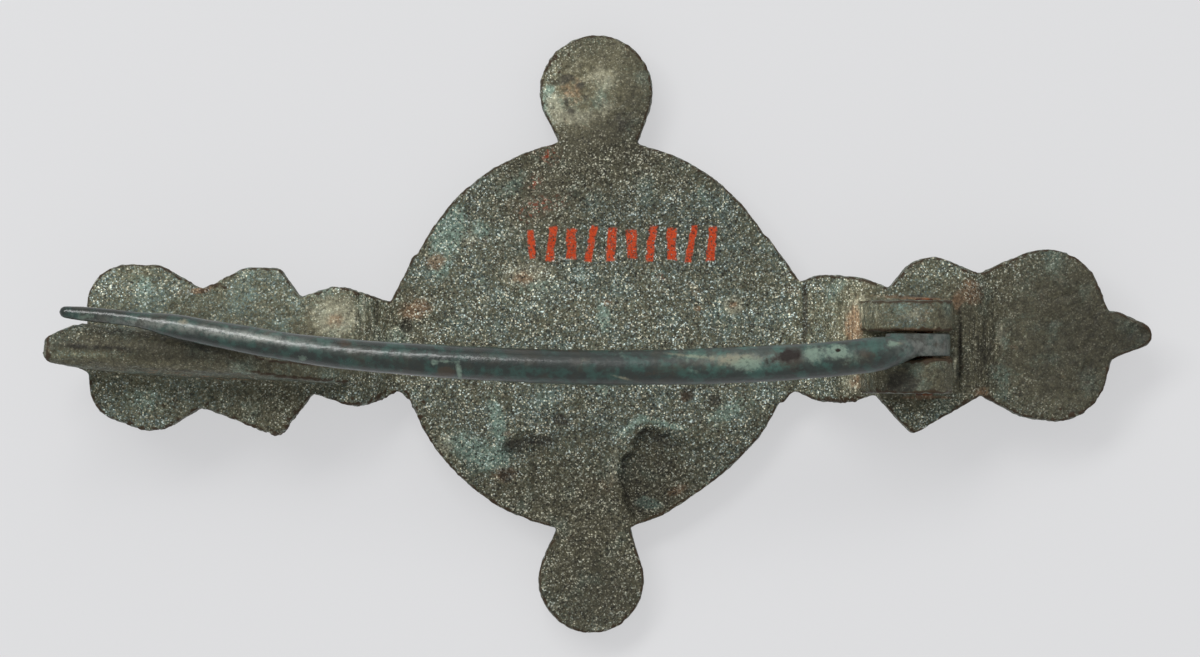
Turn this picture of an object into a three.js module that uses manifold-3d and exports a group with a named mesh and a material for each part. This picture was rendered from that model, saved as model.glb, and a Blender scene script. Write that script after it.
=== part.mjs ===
// Cast bronze brooch with a hinged pin, lying on its decorated front.
// Millimetres, +Z up, +X from the catch towards the hinge, origin under the middle of the disc's front.
import * as THREE from "three";
import { mergeVertices } from "three/addons/utils/BufferGeometryUtils.js";
import Module from "manifold-3d";

const wasm = await Module();
wasm.setup();

// Disc in the middle of the bow. One stretch of its edge is worn to a flatter curve.
const discRadius = 9.8;
const discThickness = 2.1;
const wornDepth = 0.46;
const wornAngle = THREE.MathUtils.degToRad(-52);
const wornSpread = THREE.MathUtils.degToRad(24);

// The bow: each arm leaves the disc flat and climbs by armRise to a level, thinner plate. The head's
// plate steps down again to its end. A bend has its rise on the back and on the front, and frontShift
// keeps the metal even round it.
const armRise = 2.6;
const headStep = 1.3;
const plateThickness = 1.5;
const frontRise = armRise + discThickness - plateThickness;
const headBends = [
  { out: 0.6, run: 3.0, back: armRise, front: frontRise, frontShift: 0.8 },
  { out: 8.35, run: 2.05, back: -headStep, front: -headStep, frontShift: -0.5 },
];
const footBends = [{ out: 0.1, run: 2.3, back: armRise, front: frontRise, frontShift: 0.8 }];

// How deep the knobs' necks reach into the disc, and the lugs and the catch into their plates.
const neckRootDepth = 0.4;
const footDepth = 1.0;

// Round knobs on the two sides of the disc: centre beyond the disc's edge, sidestep along X, radius, and
// where along X the two sides of the neck spring from the disc.
const farKnob = { reach: 2.42, along: 0.02, radius: 2.8, neck: [-1.72, 1.98] };
const nearKnob = { reach: 2.43, along: -0.25, radius: 2.63, neck: [-1.78, 1.62] };

// Plan of the two arms, each place as [out from the disc's edge, across]. flares are where the disc's edge
// starts to sweep into the arm. Each waist has its far and its near corner, and the plate between two
// waists swells to its round lobes, each [out, across, radius].
const headArm = {
  direction: 1,
  bends: headBends,
  flares: [[-1.3, 5.0], [-0.5, -3.35]],
  waists: [
    [[0.36, 2.63], [0.06, -2.67]],
    [[4.78, 2.32], [4.1, -2.88]],
    [[9.29, 3.07], [9.34, -2.9]],
    [[15.64, 1.17], [15.74, -1.2]],
  ],
  lobes: [
    [[1.65, 1.02, 2.0], [2.95, 0.9, 2.02], [1.75, -1.26, 2.02], [2.6, -1.3, 2.0]],
    [[6.86, 2.07, 1.82], [5.97, -4.42, 0.4]],
    [[12.59, 1.48, 2.83], [13.05, -1.63, 2.61], [12.3, -1.48, 2.67]],
    [[17.25, 0.05, 0.64], [16.09, 1.05, 0.15]],
  ],
};
const footArm = {
  direction: -1,
  bends: footBends,
  flares: [[-0.74, 4.02], [-0.5, -3.2]],
  waists: [
    [[0.41, 1.63], [-0.05, -2.67]],
    [[4.92, 1.88], [4.29, -2.86]],
    [[9.74, 2.25], [9.8, -3.52]],
    [[15.2, 0.5], [15.2, -1.9]],
  ],
  lobes: [
    [[3.02, 0.69, 1.74], [2.08, -1.57, 1.93]],
    [[6.12, 2.92, 0.44], [7.46, 2.72, 0.66], [6.07, -4.4, 0.52]],
    [[13.4, 1.48, 2.06], [12.07, 2.57, 0.97], [12.32, -2.26, 2.42], [13.56, -2.46, 1.8]],
    [[16.45, -0.6, 0.6]],
  ],
};
const waistRound = 0.12;

// Cells sunk in the front: rings on the disc, one ring round a dot on each knob and end plate.
const cellDepth = 0.65;
const rimWidth = 0.9;
const ringRadius = 5.0;
const ringWidth = 0.8;
const bossRadius = 2.0;
const smallCellDepth = 0.4;
const smallCellRim = 0.75;
const smallDotRadius = 0.6;
const endCell = { out: 12.6, side: -0.15, radius: 2.0 };
const shoulderCell = { out: 6.5, side: -0.5, along: 1.35, across: 1.9 };

// Hinge: two lugs on the head plate with a rod through them. Each lug has a round crown about the rod,
// a lower shoulder before it and a steep back down to the arm.
const hingeOut = 6.35;
const hingeHeight = 2.5;
const lugCrown = 1.4;
const lugShoulder = { back: 1.5, drop: 0.1, radius: 0.95 };
const lugToe = 3.2;
const farLugWidth = 1.5;
const nearLugWidth = 1.7;
const slotWidth = 1.36;
const slotSide = -0.44;
const rodRadius = 0.45;
const rodClearance = 0.06;
const rodProud = 0.12;

// Catch: a fin on the foot plate, turned a little off the axis, whose top curls over towards the far side.
const catchHeight = 4.42;
const catchEnd = 17.46;
const catchTurn = THREE.MathUtils.degToRad(-2.3);
const finThickness = 0.9;
const lipThickness = 0.5;

// The curl in section, each [side, rise over the middle of the crest's metal], from the fin's foot up
// and over to the lip.
const finFootSide = -1.35;
const finCurl = [[-1.12, -1.1], [-0.9, -0.25], [-0.38, 0.06], [0.2, -0.22], [0.62, -0.85]];

// The catch in side view: the blade sags down from the hook towards the disc, and the hook's nose
// overhangs its foot.
const catchBladeEnd = 1.6;
const bladeLean = 0.5;
const bladeSag = { back: 3.4, drop: 1.2 };
const hookLength = 8.3;
const crestTrim = 0.3;
const noseRound = 0.6;
const noseDepth = 1.9;
const catchOverhang = 2.1;
const toeSunk = 0.1;

// The catch in plan, each place as [in from its end, side, radius].
const catchTip = [0.72, -0.65, 0.72];
const finNose = [2.1, -1.23, 0.35];
const lipPlan = [[1.9, 0.02, 0.6], [5.9, -0.4, 0.6], [9.1, -1.3, 0.4]];
const finBroadSides = [-3.15, -0.8];
const finBroadRadius = 0.35;

// Pin: a tapering wire, bowed up and to the near side, that narrows into a flat eye on the rod.
const eyeRadius = 1.3;
const eyeSideGap = 0.12;
const eyeHoleClearance = 0.07;
const eyeNeck = { back: 1.5, rise: 1.85, radius: 0.5 };
const pinRoot = { back: 0.1, rise: 0.9 };
const neckBend = { back: 1.05, side: -0.18, rise: 1.9 };
const shoulderBack = 2.1;
const shoulderRise = 2.4;
const shoulderSide = -0.84;
const pinShortOfCatch = 1.0;
const pinTipSide = 1.2;
const pinOverCatch = 0.25;
// From the shoulder to the tip: [share of the way, side, rise as a share of pinArch over a straight line].
const pinArch = 1.25;
const pinBends = [
  [0.11, -1.28, 0.45], [0.345, -1.54, 0.95], [0.56, -1.17, 0.96], [0.7, -0.66, 0.72], [0.8, 0.03, 0.5],
  [0.905, 0.79, 0.24],
];
// The wire's radius at shares of the whole length, root to tip.
const pinRadii = [
  [0, 0.5], [0.012, 0.54], [0.075, 0.87], [0.2, 0.89], [0.38, 0.86], [0.53, 0.83], [0.66, 0.76],
  [0.76, 0.69], [0.86, 0.61], [0.915, 0.37], [0.97, 0.36], [1, 0.3],
];

// Fineness of the round faces, and a length that reaches past the whole brooch.
const chordLength = 0.45;
const fewestSides = 12;
const bendSteps = 10;
const pinSteps = 60;
const pinSides = 18;
const capSteps = 4;
const curlSteps = 24;
const tall = 30;
const margin = 1;

// Heights that follow from the sizes above.
const frontHeight = 0;
const belowFront = frontHeight - margin;
const plateBack = discThickness + armRise;
const plateFront = plateBack - plateThickness;
const footHeight = plateBack - footDepth;
const hinge = new THREE.Vector3(discRadius + hingeOut, slotSide, plateBack + hingeHeight);
const catchTop = plateBack + catchHeight;
const catchEndX = -(discRadius + catchEnd);

// Booleans between closed three.js geometries.
function solid(geometry) {
  const bare = geometry.clone();
  bare.deleteAttribute("normal");
  bare.deleteAttribute("uv");
  const merged = mergeVertices(bare, 1e-4);
  return new wasm.Manifold(
    new wasm.Mesh({
      numProp: 3,
      vertProperties: merged.attributes.position.array,
      triVerts: new Uint32Array(merged.index.array),
    }),
  );
}

function join(solids) {
  return solids.reduce((whole, next) => whole.add(next));
}

function cut(whole, cutters) {
  return cutters.reduce((rest, cutter) => rest.subtract(cutter), whole);
}

function meshOf(name, body, material) {
  const { vertProperties, triVerts } = body.getMesh();
  const geometry = new THREE.BufferGeometry();
  geometry.setAttribute("position", new THREE.BufferAttribute(vertProperties, 3));
  geometry.setIndex(new THREE.BufferAttribute(triVerts, 1));
  geometry.computeVertexNormals();
  const mesh = new THREE.Mesh(geometry, material);
  mesh.name = name;
  return mesh;
}

// Prisms of a shape along each axis. The second coordinate of an X or Y prism's shape is Z.
function prismZ(shape, low, high) {
  const geometry = new THREE.ExtrudeGeometry(shape, { depth: high - low, bevelEnabled: false });
  return solid(geometry.translate(0, 0, low));
}

function prismY(shape, low, high) {
  const geometry = new THREE.ExtrudeGeometry(shape, { depth: high - low, bevelEnabled: false });
  return solid(geometry.rotateX(Math.PI / 2).translate(0, high, 0));
}

// An X prism may be turned about the vertical line through its low end.
function prismX(shape, low, high, turn = 0) {
  const geometry = new THREE.ExtrudeGeometry(shape, { depth: high - low, bevelEnabled: false });
  const layDown = new THREE.Matrix4().makeBasis(
    new THREE.Vector3(0, 1, 0),
    new THREE.Vector3(0, 0, 1),
    new THREE.Vector3(1, 0, 0),
  );
  return solid(geometry.applyMatrix4(layDown).rotateZ(turn).translate(low, 0, 0));
}

function circlePoints(x, y, radius) {
  const count = Math.max(fewestSides, Math.round((2 * Math.PI * radius) / chordLength));
  return Array.from({ length: count }, (_, i) => {
    const angle = (2 * Math.PI * i) / count;
    return new THREE.Vector2(x + radius * Math.cos(angle), y + radius * Math.sin(angle));
  });
}

// The outline stretched round a set of circles, each [x, y, radius].
function stretchedRound(circles) {
  const points = circles.flatMap(([x, y, radius]) => circlePoints(x, y, radius));
  points.sort((a, b) => a.x - b.x || a.y - b.y);
  const turn = (a, b, c) => (b.x - a.x) * (c.y - a.y) - (b.y - a.y) * (c.x - a.x);
  const side = (ordered) => {
    const chain = [];
    for (const point of ordered) {
      while (chain.length > 1 && turn(chain.at(-2), chain.at(-1), point) <= 1e-9) chain.pop();
      chain.push(point);
    }
    return chain.slice(0, -1);
  };
  return new THREE.Shape([...side(points), ...side([...points].reverse())]);
}

function discShape() {
  const count = Math.round((2 * Math.PI * discRadius) / chordLength);
  return new THREE.Shape(
    Array.from({ length: count }, (_, i) => {
      const angle = (2 * Math.PI * i) / count - Math.PI;
      const wear = wornDepth * Math.exp(-(((angle - wornAngle) / wornSpread) ** 2));
      const radius = discRadius - wear;
      return new THREE.Vector2(radius * Math.cos(angle), radius * Math.sin(angle));
    }),
  );
}

// A knob: a round head that narrows straight to its neck at the disc.
function knobShape(knob, side) {
  const centre = side * (discRadius + knob.reach);
  const inner = side * (discRadius - neckRootDepth);
  const feet = knob.neck.map((x) => [x - Math.sign(x) * waistRound, inner, waistRound]);
  return stretchedRound([[knob.along, centre, knob.radius], ...feet]);
}

// The flat plates of one arm, one between each two waists, and the root that sweeps into the disc.
function armShapes(arm) {
  const place = ([out, across, radius]) => [arm.direction * (discRadius + out), across, radius];
  const corner = ([out, across]) => place([out, across - Math.sign(across) * waistRound, waistRound]);
  const root = stretchedRound([...arm.flares, ...arm.waists[0]].map(corner));
  const plates = arm.lobes.map((lobes, i) => {
    const corners = arm.waists.slice(i, i + 2).flat().map(corner);
    return stretchedRound([...corners, ...lobes.map(place)]);
  });
  return [root, ...plates];
}

// The back or the front of one arm in side view, from the disc outwards.
function armFace(arm, face) {
  let z = face === "back" ? discThickness : frontHeight;
  const climbs = arm.bends.flatMap((bend) => {
    const from = z;
    const start = discRadius + bend.out + (face === "back" ? 0 : bend.frontShift);
    z += bend[face];
    return Array.from({ length: bendSteps + 1 }, (_, i) => {
      const share = i / bendSteps;
      const x = arm.direction * (start + bend.run * share);
      return new THREE.Vector2(x, THREE.MathUtils.lerp(from, z, THREE.MathUtils.smoothstep(share, 0, 1)));
    });
  });
  return [...climbs, new THREE.Vector2(arm.direction * tall, z)];
}

function bowSection() {
  const [front, back] = ["front", "back"].map((face) => [
    ...armFace(footArm, face).reverse(),
    ...armFace(headArm, face),
  ]);
  return new THREE.Shape([...front, ...back.reverse()]);
}

function bowPlate() {
  const shapes = [
    discShape(),
    knobShape(farKnob, 1),
    knobShape(nearKnob, -1),
    ...armShapes(headArm),
    ...armShapes(footArm),
  ];
  const plan = join(shapes.map((shape) => prismZ(shape, belowFront, tall)));
  return plan.intersect(prismY(bowSection(), -tall, tall));
}

// A ring-shaped cell sunk in the front, from below. An inner radius of 0 makes a plain round cell.
function cellCutter(x, y, inner, outer, face, depth) {
  const shape = new THREE.Shape(circlePoints(x, y, outer));
  if (inner > 0) shape.holes.push(new THREE.Path(circlePoints(x, y, inner)));
  return prismZ(shape, belowFront, face + depth);
}

// Height of the front under an arm's end plate.
function endFront(arm) {
  return arm.bends.reduce((z, bend) => z + bend.front, frontHeight);
}

function frontCells() {
  const outer = discRadius - wornDepth - rimWidth;
  const rings = [
    cellCutter(0, 0, ringRadius + ringWidth / 2, outer, frontHeight, cellDepth),
    cellCutter(0, 0, bossRadius, ringRadius - ringWidth / 2, frontHeight, cellDepth),
  ];
  const knobs = [[farKnob, 1], [nearKnob, -1]].map(([knob, side]) =>
    cellCutter(
      knob.along,
      side * (discRadius + knob.reach),
      smallDotRadius,
      knob.radius - smallCellRim,
      frontHeight,
      smallCellDepth,
    ),
  );
  const arms = [headArm, footArm];
  const ends = arms.map((arm) =>
    cellCutter(
      arm.direction * (discRadius + endCell.out),
      endCell.side,
      smallDotRadius,
      endCell.radius,
      endFront(arm),
      smallCellDepth,
    ),
  );
  const lozenges = arms.map((arm) => {
    const { out, side, along, across } = shoulderCell;
    const x = arm.direction * (discRadius + out);
    const corners = [[x - along, side], [x, side - across], [x + along, side], [x, side + across]];
    const shape = new THREE.Shape(corners.map(([px, py]) => new THREE.Vector2(px, py)));
    return prismZ(shape, belowFront, plateFront + smallCellDepth);
  });
  return [...rings, ...knobs, ...ends, ...lozenges];
}

// Side view of a lug: steep back, sloping shoulder and a round crown about the rod.
function lugShape() {
  return stretchedRound([
    [hinge.x, hinge.z, lugCrown],
    [hinge.x - lugShoulder.back, hinge.z - lugShoulder.drop, lugShoulder.radius],
    [hinge.x - lugToe, footHeight, waistRound],
    [hinge.x + lugCrown - waistRound, footHeight, waistRound],
  ]);
}

function lugs() {
  const farSide = slotSide + slotWidth / 2;
  const nearSide = slotSide - slotWidth / 2;
  return join([
    prismY(lugShape(), farSide, farSide + farLugWidth),
    prismY(lugShape(), nearSide - nearLugWidth, nearSide),
  ]);
}

function rodHole() {
  const shape = new THREE.Shape(circlePoints(hinge.x, hinge.z, rodRadius + rodClearance));
  return prismY(shape, -tall, tall);
}

// A band of varying thickness along a curve, as a closed shape.
function bandShape(curve, startThickness, endThickness) {
  const sides = [1, -1].map((side) =>
    Array.from({ length: curlSteps + 1 }, (_, i) => {
      const share = i / curlSteps;
      const half = THREE.MathUtils.lerp(startThickness, endThickness, share) / 2;
      const along = curve.getTangent(share);
      return curve.getPoint(share).add(new THREE.Vector2(-along.y, along.x).multiplyScalar(side * half));
    }),
  );
  return new THREE.Shape([...sides[0], ...sides[1].reverse()]);
}

function catchSection() {
  const crest = catchTop - finThickness / 2;
  const foot = new THREE.Vector2(finFootSide, footHeight);
  const curl = finCurl.map(([side, rise]) => new THREE.Vector2(side, crest + rise));
  return bandShape(new THREE.SplineCurve([foot, ...curl]), finThickness, lipThickness);
}

function catchSideView(bladeEndX) {
  const shape = new THREE.Shape();
  const toe = catchEndX + catchOverhang;
  shape.moveTo(bladeEndX, footHeight);
  shape.lineTo(bladeEndX - bladeLean, plateBack);
  shape.quadraticCurveTo(
    bladeEndX - bladeSag.back,
    catchTop - bladeSag.drop,
    catchEndX + hookLength,
    catchTop + crestTrim,
  );
  shape.lineTo(catchEndX + noseRound, catchTop + crestTrim);
  shape.quadraticCurveTo(catchEndX, catchTop - noseRound, catchEndX, catchTop - noseDepth);
  shape.lineTo(toe, plateBack - toeSunk);
  shape.lineTo(toe, footHeight);
  return shape;
}

function catchPlan(bladeEndX) {
  const place = ([inward, side, radius]) => [catchEndX + inward, side, radius];
  const broadEnd = finBroadSides.map((side) => [bladeEndX, side, finBroadRadius]);
  const fin = stretchedRound([place(catchTip), place(finNose), ...broadEnd]);
  const lip = stretchedRound([catchTip, ...lipPlan].map(place));
  return join([fin, lip].map((shape) => prismZ(shape, frontHeight, tall)));
}

// The catch in three views, intersected: its curled section run along the fin, its side view and its plan.
function catchPlate() {
  const bladeEndX = -(discRadius + catchBladeEnd);
  const run = prismX(catchSection(), catchEndX - margin, bladeEndX + margin, catchTurn);
  const sideView = prismY(catchSideView(bladeEndX), -tall, tall);
  return run.intersect(sideView).intersect(catchPlan(bladeEndX));
}

function brooch(material) {
  const whole = join([bowPlate(), lugs(), catchPlate()]);
  return meshOf("bow", cut(whole, [...frontCells(), rodHole()]), material);
}

function hingeRod(material) {
  const far = slotSide + slotWidth / 2 + farLugWidth + rodProud;
  const near = slotSide - slotWidth / 2 - nearLugWidth - rodProud;
  const rod = prismY(new THREE.Shape(circlePoints(hinge.x, hinge.z, rodRadius)), near, far);
  return meshOf("hinge_rod", rod, material);
}

function pinCurve() {
  const neck = [
    new THREE.Vector3(hinge.x - pinRoot.back, slotSide, hinge.z + pinRoot.rise),
    new THREE.Vector3(hinge.x - neckBend.back, slotSide + neckBend.side, hinge.z + neckBend.rise),
  ];
  const shoulder = new THREE.Vector3(hinge.x - shoulderBack, shoulderSide, hinge.z + shoulderRise);
  const tip = new THREE.Vector3(catchEndX + pinShortOfCatch, pinTipSide, catchTop + pinOverCatch);
  const bends = pinBends.map(([share, side, rise]) => {
    const point = shoulder.clone().lerp(tip, share);
    point.y = side;
    point.z += rise * pinArch;
    return point;
  });
  return new THREE.CatmullRomCurve3([...neck, shoulder, ...bends, tip]);
}

function wireRadius(share) {
  const next = pinRadii.findIndex(([at]) => at >= share);
  if (next <= 0) return pinRadii[0][1];
  const [[from, thin], [to, thick]] = pinRadii.slice(next - 1, next + 1);
  return THREE.MathUtils.lerp(thin, thick, THREE.MathUtils.smoothstep(share, from, to));
}

// The wire as a turned rod with round ends, its axis then laid along the curve.
function pinWire() {
  const curve = pinCurve();
  const length = curve.getLength();
  const rootRadius = wireRadius(0);
  const tipRadius = wireRadius(1);
  const quarter = Array.from({ length: capSteps + 1 }, (_, i) => (Math.PI / 2) * (i / capSteps));
  const root = quarter.map((a) => [rootRadius * Math.sin(a), (rootRadius * (1 - Math.cos(a))) / length]);
  const tip = quarter.map((a) => [tipRadius * Math.cos(a), 1 - (tipRadius * (1 - Math.sin(a))) / length]);
  const [from, to] = [root.at(-1)[1], tip[0][1]];
  const middle = Array.from({ length: pinSteps - 1 }, (_, i) => {
    const share = THREE.MathUtils.lerp(from, to, (i + 1) / pinSteps);
    return [wireRadius(share), share];
  });
  const profile = [...root, ...middle, ...tip].map(([radius, share]) => new THREE.Vector2(radius, share));
  profile[0].x = 0;
  profile.at(-1).x = 0;

  const geometry = new THREE.LatheGeometry(profile, pinSides);
  const up = new THREE.Vector3(0, 0, 1);
  const position = geometry.attributes.position;
  for (let i = 0; i < position.count; i += 1) {
    const share = THREE.MathUtils.clamp(position.getY(i), 0, 1);
    const along = curve.getTangentAt(share);
    const across = along.clone().cross(up).normalize();
    const over = across.clone().cross(along);
    const point = curve.getPointAt(share);
    point.addScaledVector(across, position.getX(i)).addScaledVector(over, position.getZ(i));
    position.setXYZ(i, point.x, point.y, point.z);
  }
  return solid(geometry);
}

function pin(material) {
  const half = slotWidth / 2 - eyeSideGap;
  const eye = stretchedRound([
    [hinge.x, hinge.z, eyeRadius],
    [hinge.x - eyeNeck.back, hinge.z + eyeNeck.rise, eyeNeck.radius],
  ]);
  const hole = new THREE.Shape(circlePoints(hinge.x, hinge.z, rodRadius + eyeHoleClearance));
  const whole = join([prismY(eye, slotSide - half, slotSide + half), pinWire()]);
  return meshOf("pin", cut(whole, [prismY(hole, -tall, tall)]), material);
}

const bronze = new THREE.MeshStandardMaterial({ color: 0x55564b, roughness: 0.75, metalness: 0.35 });
const darkBronze = new THREE.MeshStandardMaterial({ color: 0x35473f, roughness: 0.4, metalness: 0.4 });
const iron = new THREE.MeshStandardMaterial({ color: 0x5a3a28, roughness: 0.9, metalness: 0.2 });

const group = new THREE.Group();
group.add(brooch(bronze), hingeRod(iron), pin(darkBronze));

export default group;
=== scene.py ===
"""Looks of a cast bronze brooch with a hinged pin, lying on its decorated front.

The scene is in metres, +Z up, +X from the catch towards the hinge and +Y to the side where the catch is
open. Sizes and places in the classes below are in millimetres of the same frame.
"""

import logging
import math
from dataclasses import dataclass, field
from enum import Enum

import bpy
import numpy as np
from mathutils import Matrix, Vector, noise

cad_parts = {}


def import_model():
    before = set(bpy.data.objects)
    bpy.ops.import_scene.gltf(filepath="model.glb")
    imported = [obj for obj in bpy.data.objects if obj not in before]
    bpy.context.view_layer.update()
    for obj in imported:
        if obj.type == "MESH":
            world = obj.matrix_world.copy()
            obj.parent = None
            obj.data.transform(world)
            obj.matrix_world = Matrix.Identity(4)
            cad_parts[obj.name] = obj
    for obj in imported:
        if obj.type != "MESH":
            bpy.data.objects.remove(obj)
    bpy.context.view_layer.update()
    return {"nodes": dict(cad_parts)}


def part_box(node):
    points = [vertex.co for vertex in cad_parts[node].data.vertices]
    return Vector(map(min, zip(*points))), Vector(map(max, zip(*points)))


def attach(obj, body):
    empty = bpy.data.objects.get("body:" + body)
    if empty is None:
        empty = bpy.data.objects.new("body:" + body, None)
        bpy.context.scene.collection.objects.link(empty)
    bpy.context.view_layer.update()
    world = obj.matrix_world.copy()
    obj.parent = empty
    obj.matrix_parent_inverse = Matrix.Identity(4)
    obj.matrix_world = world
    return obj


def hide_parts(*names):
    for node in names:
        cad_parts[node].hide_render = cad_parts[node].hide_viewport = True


MM = 0.001
MOST_TRIANGLES = 190_000
SEED_STEP = 7.3
Colour = tuple[float, float, float]

log = logging.getLogger("brooch")


class Stain(Enum):
    """The kinds of stain, and the painted light and shade that share their layers, each as one attribute of
    a skin's mesh.
    """

    VERDIGRIS = "verdigris"
    RUST = "rust"
    PALE = "pale"
    # Dark corrosion, bare skin and pits; on the casting also painted shade on the sinkings' walls and a
    # painted shadow of the pin on the near lug.
    DARK = "dark"
    SMOOTH = "smooth"
    # Browner hue; on the pin grey dusting, and also a painted highlight and a painted pale reflection.
    WARM_AND_HIGHLIGHT = "warm"
    STREAK = "streak"
    TRACE = "trace"


def ease(low: float, high: float, values: np.ndarray) -> np.ndarray:
    """Rises smoothly from 0 at low to 1 at high.

    Args:
        low: Value where the rise starts.
        high: Value where it ends.
        values: The values to ease.

    Returns:
        One share for each value.
    """
    share = np.clip((values - low) / (high - low), 0.0, 1.0)
    return share * share * (3.0 - 2.0 * share)


@dataclass(frozen=True)
class Unevenness:
    """Smooth noise that a surface is moved by.

    Attributes:
        amount: Greatest shift in millimetres.
        size: Width of one bump of the coarsest octave.
        octaves: How many finer octaves are added up, the first one included.
        seed: Number that makes one noise differ from the next.
    """

    amount: float
    size: float
    octaves: int
    seed: float

    def wave(self, points: np.ndarray, aside: float = 0.0) -> np.ndarray:
        """The noise from about -1 to 1 at each point.

        Args:
            points: Points in millimetres.
            aside: Added to the seed, for more than one noise of a kind.

        Returns:
            One value for each point.
        """
        seed = self.seed + aside
        shift = Vector((seed, 1.7 * seed, -0.6 * seed))
        places = (Vector(point) / self.size + shift for point in points)
        return np.array([noise.fractal(place, 1.0, 2.0, self.octaves) for place in places])


@dataclass(frozen=True)
class Mark:
    """An oval mark in plan that fades out round its middle.

    Attributes:
        x: Place along the brooch.
        y: Place across it.
        length: Half length, where the mark has faded to a third.
        width: Half width.
        turn: Degrees from the X axis to the length.
        strength: Value in the middle.
    """

    x: float
    y: float
    length: float
    width: float
    turn: float = 0.0
    strength: float = 1.0

    def field(self, points: np.ndarray) -> np.ndarray:
        """The mark's value at each point.

        Args:
            points: Points in millimetres.

        Returns:
            One value for each point.
        """
        angle = math.radians(self.turn)
        dx = points[:, 0] - self.x
        dy = points[:, 1] - self.y
        along = (math.cos(angle) * dx + math.sin(angle) * dy) / self.length
        across = (math.cos(angle) * dy - math.sin(angle) * dx) / self.width
        return self.strength * np.exp(-(along**2 + across**2))


@dataclass(frozen=True)
class Sinking:
    """A shallow sunk patch with a steep wall, drawn as a closed outline in plan.

    Attributes:
        outline: Corners in order, each (x, y).
        depth: Depth at the deep side.
        wall: Width over which the wall comes down.
        deep_x: Where the patch is deepest.
        shallow_x: Where it has thinned to its shallow share.
        shallow_share: Share of the depth left there.
        rim: How far from the disc's middle the patch has thinned to nothing, so that the edge stays whole.
    """

    outline: tuple[tuple[float, float], ...]
    depth: float
    wall: float
    deep_x: float
    shallow_x: float
    shallow_share: float
    rim: float = 9.75

    def field(self, points: np.ndarray, jitter: np.ndarray) -> np.ndarray:
        """How deep the patch is sunk at each point.

        Args:
            points: Points in millimetres.
            jitter: Shift of the wall at each point, which makes the outline uneven.

        Returns:
            One depth for each point, 0 outside.
        """
        x, y = points[:, 0], points[:, 1]
        whole = ease(self.rim, self.rim - 0.7, np.hypot(x, y))
        nearest = np.full(len(points), np.inf)
        inside = np.zeros(len(points), dtype=bool)
        corners = np.array(self.outline)
        for (ax, ay), (bx, by) in zip(corners, np.roll(corners, -1, axis=0)):
            share = ((x - ax) * (bx - ax) + (y - ay) * (by - ay)) / ((bx - ax) ** 2 + (by - ay) ** 2)
            share = np.clip(share, 0.0, 1.0)
            distance = np.hypot(x - ax - share * (bx - ax), y - ay - share * (by - ay))
            nearest = np.minimum(nearest, distance)
            if ay != by:
                crosses = ((ay > y) != (by > y)) & (x < (bx - ax) * (y - ay) / (by - ay) + ax)
                inside ^= crosses
        inward = np.where(inside, nearest, -nearest) + jitter
        thinned = 1.0 - (1.0 - self.shallow_share) * ease(self.deep_x, self.shallow_x, x)
        return self.depth * thinned * whole * ease(0.0, self.wall, inward)


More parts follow.
